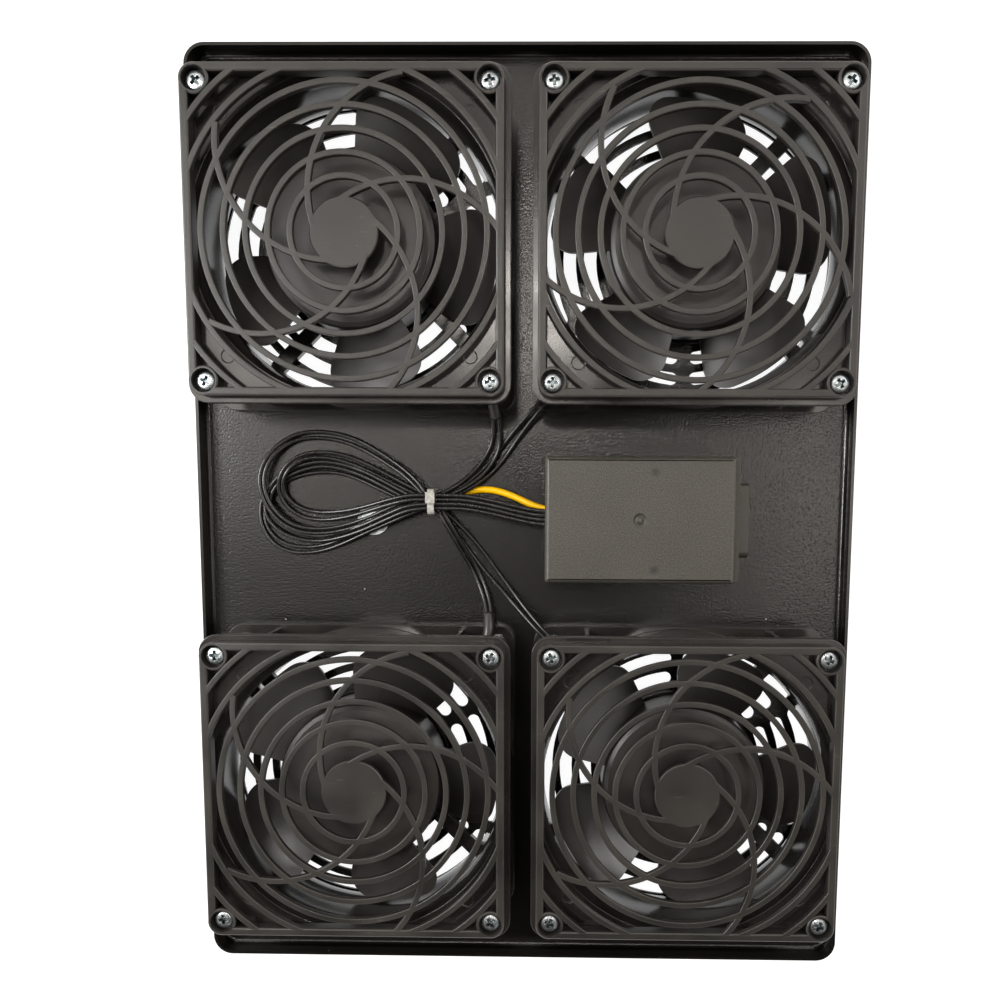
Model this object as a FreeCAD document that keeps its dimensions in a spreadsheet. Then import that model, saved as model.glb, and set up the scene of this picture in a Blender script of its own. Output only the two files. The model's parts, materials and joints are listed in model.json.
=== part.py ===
"""Rack fan tray: four 120 mm axial fans, a control box and their wiring in a folded sheet tray.

The tray lies on its outer face with the fans up. Origin: middle of the outer face. +Z: out of
the tray, the way the fans stand. +X: towards the power inlet's end of the control box.
"""

import FreeCAD, Part
import math
import os
import Sketcher

from FreeCAD import Placement, Rotation, Vector

# ---------------------------------------------------------------------------------------------
# Driving dimensions, in millimetres and degrees; text is a size worked out from the others
# ---------------------------------------------------------------------------------------------

SIZES = {
    # folded sheet tray
    "tray_width": "fan_pitch_across + fan_size + 2 * fan_margin_across",
    "tray_length": "fan_pitch_along + fan_size + 2 * fan_margin_along",
    "tray_height": 10.0,
    "sheet_thickness": 1.2,
    "inner_bend": 1.5,
    "tray_corner": 8.0,
    "fan_margin_across": 8.5,
    "fan_margin_along": 20.8,
    "fan_gap": 8.0,
    "wiring_bay": 87.4,
    "fan_pitch_across": "fan_size + fan_gap",
    "fan_pitch_along": "fan_size + wiring_bay",
    "equipment_shift": 1.4,
    # air slots in the tray floor, in rings under each fan
    "slot_first_ring": 38.2,
    "slot_ring_pitch": 8.2,
    "slot_width": 5.0,
    "slot_web": 4.8,
    # fan frame
    "fan_size": 120.0,
    "fan_depth": 38.0,
    "flange_thickness": 5.0,
    "fan_corner": 7.0,
    "hole_inset": 7.5,
    "hole_pitch": "fan_size - 2 * hole_inset",
    "hole_diameter": 4.3,
    "duct_wall": 2.2,
    "throat_inset": 4.5,
    "body_diameter": "mouth_diameter + 2 * (duct_wall - body_inset)",
    "throat_diameter": "fan_size - 2 * throat_inset",
    "mouth_diameter": "fan_size - 2 * duct_wall",
    "body_inset": 0.8,
    "mouth_depth": 10.0,
    "rib_thickness": 1.8,
    "rib_offset": 38.0,
    "mouth_curve": 0.6,
    "ejector_diameter": 5.0,
    "ejector_across": "hole_pitch / 2 - 7.5",
    "ejector_along": "hole_pitch / 2 - 9.5",
    "ejector_depth": 0.3,
    "motor_plate_diameter": 66.0,
    "motor_plate_thickness": 3.0,
    "motor_plate_lift": 0.8,
    "strut_width": 6.0,
    "strut_depth": 4.2,
    "strut_skew": 5.0,
    "lead_hole_height": 7.9,
    # bearings and shaft
    "tube_diameter": 12.8,
    "tube_height": 27.0,
    "bearing_diameter": 10.0,
    "bearing_width": 4.0,
    "lower_bearing_height": 5.0,
    "shaft_diameter": 4.0,
    "shaft_bottom": 4.2,
    "shaft_top": 31.4,
    "end_gap": 0.3,
    "bearing_step": 0.8,
    "running_gap": 0.03,
    "press_gap": 0.02,
    # rotor
    "hub_diameter": 64.0,
    "hub_bottom": 7.2,
    "hub_top": 32.4,
    "hub_crown": 0.9,
    "hub_crown_shoulder": "0.8 * hub_crown",
    "hub_round_middle": "0.3 * hub_round",
    "hub_round": 2.2,
    "hub_wall": 1.65,
    "hub_end_wall": 2.2,
    "cup_wall": 1.2,
    "blade_count": 5,
    "tip_gap": 1.5,
    "blade_tip_diameter": "throat_diameter - 2 * tip_gap",
    "blade_thickness": 2.0,
    "blade_lead": 140.0,
    "blade_trim": 1.0,
    "blade_gap": 22.0,
    "blade_corner": 9.0,
    "blade_bottom": 7.9,
    # stator
    "stator_diameter": 57.0,
    "stack_bottom": 11.0,
    "stack_height": 10.0,
    "winding_diameter": 46.0,
    "winding_rise": 3.4,
    "slot_opening": 2.4,
    # finger guard
    "guard_height": 6.0,
    "guard_rim": 3.2,
    "boss_diameter": 10.8,
    "guard_half": "(hole_pitch + boss_diameter) / 2",
    "boss_bore": 8.8,
    "boss_floor": 1.4,
    "guard_disc": 25.0,
    "first_ring": 19.5,
    "outer_ring_inset": 6.2,
    "ring_pitch": "(guard_half - outer_ring_inset - first_ring) / 4",
    "ring_width": 2.2,
    "ring_depth": 2.6,
    "spoke_count": 5,
    "spoke_near": 9.4,
    "spoke_overrun": 14.7,
    "spoke_arc": "(guard_half + spoke_overrun + spoke_near) / 2",
    "spoke_offset": "(guard_half + spoke_overrun - spoke_near) / 2",
    "spoke_start": -45.5,
    "spoke_lead": 72.5,
    "spoke_sweep": 99.0,
    # fasteners
    "screw_diameter": 4.0,
    "screw_head_diameter": 7.2,
    "screw_head_height": 2.5,
    "screw_head_rim": "0.4 * screw_head_height",
    "screw_dome_width": "0.84 * screw_head_diameter",
    "screw_dome_rise": "0.8 * screw_head_height",
    "screw_crown_width": "0.5 * screw_head_diameter",
    "nut_flats": 7.0,
    "nut_height": 3.2,
    "stud_flange_diameter": 5.6,
    "earth_flange_diameter": 6.6,
    "stud_flange_height": 0.7,
    "thread_end": 0.8,
    # lead sleeves and wires
    "sleeve_diameter": 5.2,
    "sleeve_length": 6.4,
    "sleeve_bore_diameter": 4.0,
    "sleeve_inset": 3.2,
    "sleeve_start": "body_diameter / 2 - sleeve_inset",
    "wire_diameter": 1.7,
    "wire_gap": 0.05,
    "earth_wire_diameter": 2.8,
    "route_unit": 1.0,
    # control box
    "box_left": 8.7,
    "box_along": 2.1,
    "box_length": 75.8,
    "box_width": 48.6,
    "base_height": 23.8,
    "lid_length": 73.0,
    "lid_height": 7.0,
    "box_wall": 2.4,
    "box_corner": 1.3,
    "lid_lip_depth": 1.8,
    "lid_lip_gap": 0.1,
    "lid_bevel": 1.2,
    "gate_mark_diameter": 4.7,
    "gate_mark_depth": 0.6,
    "fit_gap": 0.1,
    "wire_slot_width": 10.6,
    "wire_slot_height": 9.0,
    "wire_slot_along": 2.3,
    "wire_slot_bottom": 5.6,
    "box_screw_diameter": 3.0,
    "box_screw_head": 5.6,
    "box_screw_length": 7.2,
    "box_boss_diameter": 7.0,
    "box_screw_across": 24.0,
    "box_screw_along": 17.0,
    # power inlet
    "inlet_flange_width": 29.0,
    "inlet_flange_height": 22.0,
    "inlet_flange_thickness": 3.4,
    "inlet_corner": 2.2,
    "inlet_body_width": 27.0,
    "inlet_body_height": 18.4,
    "inlet_centre": 13.8,
    "inlet_depth": 22.0,
    "socket_width": 24.4,
    "socket_height": 16.6,
    "socket_depth": 16.0,
    "socket_chamfer": 4.0,
    "pin_width": 2.0,
    "pin_height": 4.0,
    "pin_spread": 7.0,
    "earth_pin_offset": 4.0,
    "pin_recess": 2.0,
    "pin_tail": 7.0,
    # terminal block in the box
    "terminal_length": 30.0,
    "terminal_width": 16.0,
    "terminal_height": 12.0,
    "terminal_left": 30.0,
    "terminal_mouth": 3.0,
    # cable tie and wire bundle
    "tie_across": -37.5,
    "tie_along": 8.7,
    "tie_width": 2.6,
    "tie_thickness": 1.1,
    "tie_corner": 1.76,
    "tie_gap": 0.1,
    "tie_bottom": 2.35,
    "tie_head": 4.4,
    "tie_head_length": 3.6,
    "tie_head_height": 3.2,
    "tie_head_shift": 1.6,
    "bundle_columns": 4,
    "bundle_width": 7.9,
    "bundle_bottom": 5.4,
    "bundle_height": 7.9,
    "neck_end": 5.9,
    "hank_across": -84.5,
    "hank_along": 12.7,
    "hank_outer_radius": 24.8,
    "hank_inner_radius": 12.0,
    "hank_inner_reach": 28.8,
    "hank_inner_tip": 1.0,
    "hank_bottom": 6.2,
    "hank_height": 5.6,
    "hank_stud_room": 16.0,
    # earth stud
    "earth_across": -62.5,
    "earth_along": 1.4,
    "earth_stud_diameter": 5.0,
    "earth_washer_diameter": 13.0,
    "earth_washer_thickness": 1.0,
    "earth_nut_flats": 8.0,
    "earth_nut_height": 4.0,
    "terminal_ring_diameter": 10.0,
    "terminal_sheet": 1.0,
    "barrel_diameter": 4.4,
    "barrel_length": 7.0,
    "barrel_start": 7.4,
    "terminal_turn": 19.0,
}

doc = FreeCAD.newDocument("rack_fan_tray")
sheet = doc.addObject("Spreadsheet::Sheet", "Size")
for row, alias in enumerate(SIZES, start=1):
    sheet.set(f"A{row}", alias.replace("_", " "))
    sheet.setAlias(f"B{row}", alias)
for row, size in enumerate(SIZES.values(), start=1):
    sheet.set(f"B{row}", f"={size}")
doc.recompute()

PARTS = []


# ---------------------------------------------------------------------------------------------
# Helpers
# ---------------------------------------------------------------------------------------------

def sized(text):
    """Put the sheet's name before each alias in an expression."""
    words = []
    word = ""
    for letter in text + " ":
        if letter.isalnum() or letter == "_":
            word += letter
            continue
        words.append("Size." + word if word in SIZES else word)
        words.append(letter)
        word = ""
    return "".join(words).strip()


def number(text):
    """The value of an expression of the sheet's aliases."""
    return float(sheet.evalExpression(sized(text)))


def bind(item, **expressions):
    """Tie properties to the sheet; a double underscore stands for a dot."""
    for name, text in expressions.items():
        item.setExpression(name.replace("__", "."), sized(text))
    return item


def part(item, label):
    """Name a finished sub-part, to be written to its own file."""
    item.Label = label
    PARTS.append(item)
    return item


def origin_item(body, role):
    """One of a body's own origin planes or axes."""
    return [item for item in body.Origin.OriginFeatures if item.Role == role][0]


def new_body(name):
    return doc.addObject("PartDesign::Body", name)


def new_sketch(body, name, plane="XY_Plane", lift="0", turn=0.0):
    """A sketch on one of the body's origin planes, lifted along the plane's normal and turned on it."""
    sketch = body.newObject("Sketcher::SketchObject", name)
    sketch.AttachmentSupport = [(origin_item(body, plane), "")]
    sketch.MapMode = "FlatFace"
    sketch.AttachmentOffset = Placement(Vector(), Rotation(Vector(0, 0, 1), turn))
    if lift != "0":
        bind(sketch, AttachmentOffset__Base__z=lift)
    return sketch


def place_point(sketch, edge, end, across, along):
    """Hold a point of the sketch at two distances from its origin."""
    for kind, text, axis in (("DistanceX", across, -2), ("DistanceY", along, -1)):
        if text == "0":
            sketch.addConstraint(Sketcher.Constraint("PointOnObject", edge, end, axis))
            continue
        index = sketch.addConstraint(Sketcher.Constraint(kind, -1, 1, edge, end, number(text)))
        sketch.setExpression(f"Constraints[{index}]", sized(text))


def draw_circle(sketch, radius, across="0", along="0"):
    centre = Vector(number(across), number(along), 0)
    edge = sketch.addGeometry(Part.Circle(centre, Vector(0, 0, 1), number(radius)), False)
    index = sketch.addConstraint(Sketcher.Constraint("Radius", edge, number(radius)))
    sketch.setExpression(f"Constraints[{index}]", sized(radius))
    if (across, along) == ("0", "0"):
        sketch.addConstraint(Sketcher.Constraint("Coincident", edge, 3, -1, 1))
    else:
        place_point(sketch, edge, 3, across, along)


def draw_profile(sketch, points):
    """A closed outline of straight edges through points given as pairs of expressions."""
    corners = [Vector(number(across), number(along), 0) for across, along in points]
    first = None
    for start, end in zip(corners, corners[1:] + corners[:1]):
        edge = sketch.addGeometry(Part.LineSegment(start, end), False)
        first = edge if first is None else first
    for step in range(len(points)):
        following = first + (step + 1) % len(points)
        sketch.addConstraint(Sketcher.Constraint("Coincident", first + step, 2, following, 1))
        place_point(sketch, first + step, 1, *points[step])


def draw_rectangle(sketch, left, right, bottom, top):
    draw_profile(sketch, [(left, bottom), (right, bottom), (right, top), (left, top)])


def feature(body, kind, name, **settings):
    item = body.newObject("PartDesign::" + kind, name)
    for setting, setting_value in settings.items():
        setattr(item, setting, setting_value)
    return item


def changed(body, item, growing):
    """Recompute and make sure that the feature added or removed material."""
    before = changed.volumes.get(body.Name, 0.0)
    doc.recompute()
    after = body.Shape.Volume
    if (after - before) * (1 if growing else -1) < 1e-3:
        raise ValueError(f"{item.Name} changed the volume from {before:.3f} to {after:.3f}")
    changed.volumes[body.Name] = after
    return item


changed.volumes = {}


def pad(body, sketch, length, reverse=False):
    item = feature(body, "Pad", sketch.Name + "_pad", Profile=sketch, Reversed=reverse)
    bind(item, Length=length)
    return changed(body, item, True)


def pocket(body, sketch, length=None, upward=False):
    """Cut a sketch downwards, or upwards, by a length or through everything."""
    item = feature(body, "Pocket", sketch.Name + "_cut", Profile=sketch, Reversed=upward)
    if length is None:
        item.Type = "ThroughAll"
    else:
        bind(item, Length=length)
    return changed(body, item, False)


def revolve(body, sketch, cut=False):
    kind = "Groove" if cut else "Revolution"
    item = feature(body, kind, sketch.Name + "_turned", Profile=sketch, Angle=360.0)
    item.ReferenceAxis = (sketch, ["V_Axis"])
    return changed(body, item, not cut)


def polar(body, item, count, growing, name):
    pattern = feature(body, "PolarPattern", name, Originals=[item], Angle=360.0)
    pattern.Axis = (origin_item(body, "Z_Axis"), [""])
    bind(pattern, Occurrences=count)
    body.Tip = pattern
    return changed(body, pattern, growing)


def edges_of(item, test):
    """The names of a shape's edges that pass a test."""
    return [f"Edge{index}" for index, edge in enumerate(item.Shape.Edges, start=1) if test(edge)]


def is_upright(edge):
    """Whether an edge is straight and runs along Z."""
    if not isinstance(edge.Curve, Part.Line):
        return False
    return abs(edge.Curve.Direction.z) > 0.999


def round_edges(body, radius, test, name):
    base = body.Tip
    item = feature(body, "Fillet", name, Base=(base, edges_of(base, test)))
    bind(item, Radius=radius)
    doc.recompute()
    changed.volumes[body.Name] = body.Shape.Volume
    return item


def bevel_edges(body, size, test, name):
    base = body.Tip
    item = feature(body, "Chamfer", name, Base=(base, edges_of(base, test)))
    bind(item, Size=size)
    doc.recompute()
    changed.volumes[body.Name] = body.Shape.Volume
    return item


def cylinder(name, radius, height, x="0", y="0", z="0"):
    item = doc.addObject("Part::Cylinder", name)
    bind(item, Radius=radius, Height=height)
    bind(item, Placement__Base__x=x, Placement__Base__y=y, Placement__Base__z=z)
    return item


def block(name, length, width, height, x, y, z):
    """A box from its lowest corner."""
    item = doc.addObject("Part::Box", name)
    bind(item, Length=length, Width=width, Height=height)
    bind(item, Placement__Base__x=x, Placement__Base__y=y, Placement__Base__z=z)
    return item


def hexagon(name, flats, height, z="0"):
    """A six-sided prism, measured across its flats."""
    item = doc.addObject("Part::Prism", name)
    item.Polygon = 6
    bind(item, Circumradius=f"{flats} / sqrt(3)", Height=height, Placement__Base__z=z)
    return item


def cut(name, base, tool):
    item = doc.addObject("Part::Cut", name)
    item.Base = base
    item.Tool = tool
    return item


def fuse(name, items):
    item = doc.addObject("Part::MultiFuse", name)
    item.Shapes = items
    item.Refine = True
    return item


def common(name, items):
    item = doc.addObject("Part::MultiCommon", name)
    item.Shapes = items
    return item


def copy_of(item, name, x="0", y="0", z="0", turn=0.0):
    """A linked copy at its own place, turned about Z."""
    link = doc.addObject("App::Link", name)
    link.LinkedObject = item
    link.LinkTransform = True
    link.Placement = Placement(Vector(), Rotation(Vector(0, 0, 1), turn))
    bind(link, Placement__Base__x=x, Placement__Base__y=y, Placement__Base__z=z)
    return link


def group(name, items):
    item = doc.addObject("Part::Compound", name)
    item.Links = items
    return item


# Each fan's place in the tray: name, side across, side along, turn of its frame, turn of its
# guard and turn of its rotor at rest. The frame's lead leaves by its +X, -Y corner.
FANS = (
    ("fan_1", -1, 1, 0.0, 0.0, -36.0),
    ("fan_2", 1, 1, -90.0, -90.0, -10.0),
    ("fan_3", -1, -1, 90.0, 0.0, 42.0),
    ("fan_4", 1, -1, 180.0, 0.0, -29.0),
)


def fan_place(side_across, side_along):
    """The middle of a fan, as expressions."""
    across = f"{side_across} * fan_pitch_across / 2"
    along = f"equipment_shift + {side_along} * fan_pitch_along / 2"
    return across, along


# ---------------------------------------------------------------------------------------------
# Tray
# ---------------------------------------------------------------------------------------------

CORNERS = ((-1, -1), (1, -1), (1, 1), (-1, 1))
SLOT_RINGS = 3
SLOT_SECTORS = 6


def corner_place(side_x, side_y):
    """One of a fan's four screw places, from the fan's middle."""
    return f"{side_x} * hole_pitch / 2", f"{side_y} * hole_pitch / 2"


def lies_on_bottom(edge):
    return edge.BoundBox.ZMax < 1e-6


def draw_slot(sketch, radius, start, end):
    """A round-ended slot along an arc about the middle."""
    half = number("slot_width / 2")
    middle = Vector(0, 0, 0)
    upward = Vector(0, 0, 1)
    for side in (radius + half, radius - half):
        sketch.addGeometry(Part.ArcOfCircle(Part.Circle(middle, upward, side), start, end), False)
    for angle, first in ((start, start + math.pi), (end, end)):
        centre = middle + Vector(radius * math.cos(angle), radius * math.sin(angle), 0)
        round_end = Part.Circle(centre, upward, half)
        sketch.addGeometry(Part.ArcOfCircle(round_end, first, first + math.pi), False)


def make_slot_field():
    """The air slots under one fan: rings of arcs, parted by webs every sixth of the circle."""
    field = doc.addObject("Sketcher::SketchObject", "slot_outlines")
    sector_angle = math.radians(360 / SLOT_SECTORS)
    for ring in range(SLOT_RINGS):
        radius = number(f"slot_first_ring + {ring} * slot_ring_pitch")
        inset = math.asin(number("slot_width + slot_web") / 2 / radius)
        for sector in range(SLOT_SECTORS):
            start = (sector + 0.5) * sector_angle
            draw_slot(field, radius, start + inset, start + sector_angle - inset)
    through = doc.addObject("Part::Extrusion", "slot_field")
    through.Base = field
    through.DirMode = "Normal"
    through.Solid = True
    bind(through, LengthFwd="2 * sheet_thickness", LengthRev="sheet_thickness")
    return through


def make_tray(fan_stud, earth_stud, box_screw):
    """A pan of folded sheet with rounded corners, pierced for air, studs and screws."""
    body = new_body("tray_body")
    outline = new_sketch(body, "tray_outline")
    draw_rectangle(outline, "-tray_width / 2", "tray_width / 2", "-tray_length / 2", "tray_length / 2")
    pad(body, outline, "tray_height")
    round_edges(body, "tray_corner", is_upright, "tray_corners")
    round_edges(body, "inner_bend + sheet_thickness", lies_on_bottom, "tray_bends")
    height = number("tray_height")
    top = [f"Face{index}" for index, face in enumerate(body.Tip.Shape.Faces, start=1)
           if face.BoundBox.ZMin > height - 1e-6]
    shell = feature(body, "Thickness", "tray_shell", Base=(body.Tip, top), Reversed=True)
    bind(shell, Value="sheet_thickness")
    changed(body, shell, False)
    slots = make_slot_field()
    tools = [copy_of(earth_stud, "earth_stud_hole", "earth_across", "earth_along")]
    for fan, side_across, side_along, *_ in FANS:
        across, along = fan_place(side_across, side_along)
        tools.append(copy_of(slots, f"{fan}_slots", across, along))
        for index, (side_x, side_y) in enumerate(CORNERS, start=1):
            corner_x, corner_y = corner_place(side_x, side_y)
            tools.append(copy_of(fan_stud, f"{fan}_stud_hole_{index}", f"{across} + {corner_x}",
                                 f"{along} + {corner_y}"))
    for index, side in enumerate(BOX_SCREW_SIDES, start=1):
        tools.append(copy_of(box_screw, f"box_screw_hole_{index}", *box_screw_place(side)))
    return cut("tray_pierced", body, group("tray_openings", tools))


# ---------------------------------------------------------------------------------------------
# Fan, built about its own axis with its rear face at Z = 0
# ---------------------------------------------------------------------------------------------

def make_fan_frame():
    """Two square flanges joined by a round duct that flares at both mouths."""
    body = new_body("fan_frame_body")
    square = new_sketch(body, "frame_square")
    draw_rectangle(square, "-fan_size / 2", "fan_size / 2", "-fan_size / 2", "fan_size / 2")
    pad(body, square, "fan_depth")
    round_edges(body, "fan_corner", is_upright, "frame_corners")

    waist = new_sketch(body, "frame_waist", lift="flange_thickness")
    draw_rectangle(waist, "-fan_size", "fan_size", "-fan_size", "fan_size")
    draw_circle(waist, "body_diameter / 2")
    pocket(body, waist, "fan_depth - 2 * flange_thickness", upward=True)

    ribs = new_sketch(body, "frame_ribs", lift="flange_thickness")
    inner = "sqrt((throat_diameter / 2 + rib_thickness) ^ 2 - rib_offset ^ 2)"
    draw_rectangle(ribs, inner, "fan_size / 2 - rib_thickness", "rib_offset - rib_thickness / 2",
                   "rib_offset + rib_thickness / 2")
    draw_rectangle(ribs, inner, "fan_size / 2 - rib_thickness", "-rib_offset - rib_thickness / 2",
                   "-rib_offset + rib_thickness / 2")
    rib = pad(body, ribs, "fan_depth - 2 * flange_thickness")
    polar(body, rib, "4", True, "frame_rib_pattern")

    duct = new_sketch(body, "frame_duct", "XZ_Plane")
    throat = "throat_diameter / 2"
    mouth = "mouth_diameter / 2"
    halfway = "(throat_diameter + mouth_diameter) / 4 - mouth_curve"
    draw_profile(duct, [("0", "-1"), (mouth, "-1"), (mouth, "0"), (halfway, "mouth_depth / 2"),
                        (throat, "mouth_depth"), (throat, "fan_depth - mouth_depth"),
                        (halfway, "fan_depth - mouth_depth / 2"), (mouth, "fan_depth"),
                        (mouth, "fan_depth + 1"), ("0", "fan_depth + 1")])
    revolve(body, duct, cut=True)

    holes = new_sketch(body, "frame_holes", lift="fan_depth + 1")
    for side_x, side_y in CORNERS:
        draw_circle(holes, "hole_diameter / 2", *corner_place(side_x, side_y))
    pocket(body, holes)

    pins = new_sketch(body, "ejector_marks", lift="fan_depth")
    for side_x, side_y in CORNERS:
        draw_circle(pins, "ejector_diameter / 2", f"{side_x} * ejector_across", f"{side_y} * ejector_along")
    pocket(body, pins, "ejector_depth")

    plate = new_sketch(body, "motor_plate", lift="motor_plate_lift")
    draw_circle(plate, "motor_plate_diameter / 2")
    strut = new_sketch(body, "motor_strut", lift="motor_plate_lift", turn=45.0)
    draw_rectangle(strut, "motor_plate_diameter / 2 - strut_width",
                   "body_diameter / 2 - rib_thickness / 2",
                   "strut_skew - strut_width / 2", "strut_skew + strut_width / 2")
    strut_pad = pad(body, strut, "strut_depth")
    polar(body, strut_pad, "4", True, "motor_strut_pattern")
    pad(body, plate, "motor_plate_thickness")
    tube = new_sketch(body, "bearing_tube", lift="motor_plate_lift")
    draw_circle(tube, "tube_diameter / 2")
    pad(body, tube, "tube_height - motor_plate_lift")

    bore = new_sketch(body, "bearing_bore", "XZ_Plane")
    seat = "bearing_diameter / 2"
    waist_radius = "bearing_diameter / 2 - bearing_step"
    upper = "tube_height - bearing_width"
    lower_end = "lower_bearing_height + bearing_width"
    draw_profile(bore, [("0", "shaft_bottom - end_gap"), (waist_radius, "shaft_bottom - end_gap"),
                        (waist_radius, "lower_bearing_height"), (seat, "lower_bearing_height"),
                        (seat, lower_end), (waist_radius, lower_end), (waist_radius, upper),
                        (seat, upper), (seat, "tube_height + 1"), ("0", "tube_height + 1")])
    revolve(body, bore, cut=True)
    return body


def finish_frame(body):
    """The hole through the duct wall, towards the corner where the lead leaves."""
    start = "(sleeve_start - rib_thickness) / sqrt(2)"
    hole = cylinder("lead_hole_tool", "sleeve_diameter / 2 + press_gap", "sleeve_length * 2",
                    start, f"-{start}", "lead_hole_height")
    hole.Placement.Rotation = TOWARDS_CORNER
    return cut("fan_frame_bored", body, hole)


TOWARDS_CORNER = Rotation(Vector(0, 0, 1), Vector(1, -1, 0))


def make_impeller():
    """A domed hub with wide blades, each a strip of a screw surface."""
    body = new_body("impeller_body")
    hub = new_sketch(body, "hub_section", "XZ_Plane")
    outer = "hub_diameter / 2"
    inner = "hub_diameter / 2 - hub_wall"
    under = "hub_top - hub_end_wall"
    hole = "shaft_diameter / 2 + press_gap"
    draw_profile(hub, [("0", "shaft_top"), (hole, "shaft_top"), (hole, under), (inner, under),
                       (inner, "hub_bottom"), (outer, "hub_bottom"), (outer, "hub_top - hub_round"),
                       ("hub_diameter / 2 - hub_round_middle", "hub_top - hub_round_middle"),
                       ("hub_diameter / 2 - hub_round", "hub_top"),
                       ("hub_diameter / 4", "hub_top + hub_crown_shoulder"),
                       ("0", "hub_top + hub_crown")])
    revolve(body, hub)
    strip = new_sketch(body, "blade_section", "XZ_Plane")
    draw_rectangle(strip, "hub_diameter / 2 - hub_wall / 2", "blade_tip_diameter / 2",
                   "blade_bottom", "blade_bottom + blade_thickness")
    blade = feature(body, "AdditiveHelix", "blade_sweep", Profile=strip, Mode="pitch-height-angle")
    blade.ReferenceAxis = (strip, ["V_Axis"])
    blade.Refine = False
    bind(blade, Pitch="blade_lead",
         Height="blade_lead * (1 / blade_count - (blade_gap - 2 * blade_trim) / 360)")
    changed(body, blade, True)
    polar(body, blade, "blade_count", True, "blade_pattern")
    gap = new_sketch(body, "blade_gap_outline", lift="hub_top + hub_crown + blade_thickness")
    draw_blade_gap(gap)
    gap_cut = pocket(body, gap)
    polar(body, gap_cut, "blade_count", False, "blade_gap_pattern")
    return body


def draw_blade_gap(sketch):
    """The open space between two blades, with their tip corners rounded."""
    inner = number("hub_diameter / 2 + running_gap")
    tip = number("blade_tip_diameter / 2")
    beyond = tip + number("blade_thickness")
    corner = number("blade_corner")
    half = math.radians(number("blade_gap / 2"))
    middle = math.radians(number("blade_trim - blade_gap / 2"))
    lean = math.asin(corner / (tip - corner))
    along_side = math.sqrt((tip - corner) ** 2 - corner ** 2)

    def point(radius, angle):
        return Vector(radius * math.cos(middle + angle), radius * math.sin(middle + angle), 0)

    def bend(side):
        """The middle of a rounded tip corner's arc."""
        centre = point(tip - corner, side * (half + lean))
        towards = (point(along_side, side * half) + point(tip, side * (half + lean))) * 0.5 - centre
        return centre + towards.normalize() * corner

    edges = [
        Part.Arc(point(inner, half), point(inner, 0), point(inner, -half)),
        Part.LineSegment(point(inner, -half), point(along_side, -half)),
        Part.Arc(point(along_side, -half), bend(-1), point(tip, -half - lean)),
        Part.LineSegment(point(tip, -half - lean), point(beyond, -half - lean)),
        Part.Arc(point(beyond, -half - lean), point(beyond, 0), point(beyond, half + lean)),
        Part.LineSegment(point(beyond, half + lean), point(tip, half + lean)),
        Part.Arc(point(tip, half + lean), bend(1), point(along_side, half)),
        Part.LineSegment(point(along_side, half), point(inner, half)),
    ]
    for edge in edges:
        sketch.addGeometry(edge, False)


def make_rotor_cup():
    """The drawn steel cup pressed into the hub, open towards the motor plate."""
    body = new_body("rotor_cup_body")
    section = new_sketch(body, "cup_section", "XZ_Plane")
    outer = "hub_diameter / 2 - hub_wall - press_gap"
    inner = "hub_diameter / 2 - hub_wall - press_gap - cup_wall"
    top = "hub_top - hub_end_wall"
    hole = "shaft_diameter / 2 + press_gap"
    draw_profile(section, [(outer, "hub_bottom"), (outer, top), (hole, top), (hole, f"{top} - cup_wall"),
                           (inner, f"{top} - cup_wall"), (inner, "hub_bottom")])
    revolve(body, section)
    return body


def make_shaft():
    return cylinder("shaft", "shaft_diameter / 2", "shaft_top - shaft_bottom", z="shaft_bottom")


def make_bearings():
    """The two ball bearings, as plain rings at the ends of the bearing tube."""
    rings = []
    for name, height in (("lower", "lower_bearing_height"), ("upper", "tube_height - bearing_width")):
        outer = cylinder(name + "_bearing_outer", "bearing_diameter / 2", "bearing_width", z=height)
        inner = cylinder(name + "_bearing_bore", "shaft_diameter / 2 + running_gap",
                         "bearing_width", z=height)
        rings.append(cut(name + "_bearing", outer, inner))
    return group("bearings", rings)


def make_stator():
    """A slotted stack of laminations with a ring of windings above and below."""
    body = new_body("stator_body")
    disc = new_sketch(body, "stack_section", lift="stack_bottom")
    draw_circle(disc, "stator_diameter / 2")
    draw_circle(disc, "tube_diameter / 2 + press_gap")
    pad(body, disc, "stack_height")
    for side, lift, reverse in (("upper", "stack_bottom + stack_height", False),
                                ("lower", "stack_bottom", True)):
        ring = new_sketch(body, side + "_winding", lift=lift)
        draw_circle(ring, "winding_diameter / 2")
        draw_circle(ring, "tube_diameter / 2 + press_gap")
        pad(body, ring, "winding_rise", reverse)
    slot = new_sketch(body, "stack_slot", lift="stack_bottom + stack_height")
    draw_rectangle(slot, "winding_diameter / 2", "stator_diameter / 2 + 1",
                   "-slot_opening / 2", "slot_opening / 2")
    slot_cut = pocket(body, slot, "stack_height")
    polar(body, slot_cut, "8", False, "stack_slot_pattern")
    return body


def make_sleeve():
    """A short sleeve that guards the lead where it leaves the duct wall."""
    outer = cylinder("sleeve_outer", "sleeve_diameter / 2", "sleeve_length")
    inner = cylinder("sleeve_bore", "sleeve_bore_diameter / 2", "sleeve_length")
    sleeve = cut("lead_sleeve", outer, inner)
    sleeve.Placement.Rotation = TOWARDS_CORNER
    bind(sleeve, Placement__Base__x="sleeve_start / sqrt(2)", Placement__Base__y="-sleeve_start / sqrt(2)",
         Placement__Base__z="lead_hole_height")
    return sleeve


# ---------------------------------------------------------------------------------------------
# Finger guard, in the fan's own frame
# ---------------------------------------------------------------------------------------------

GUARD_RINGS = 7


def ring(name, radius, width, height, z):
    outer = cylinder(name + "_outer", f"({radius}) + ({width}) / 2", height, z=z)
    inner = cylinder(name + "_inner", f"({radius}) - ({width}) / 2", height, z=z)
    return cut(name, outer, inner)


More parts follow.
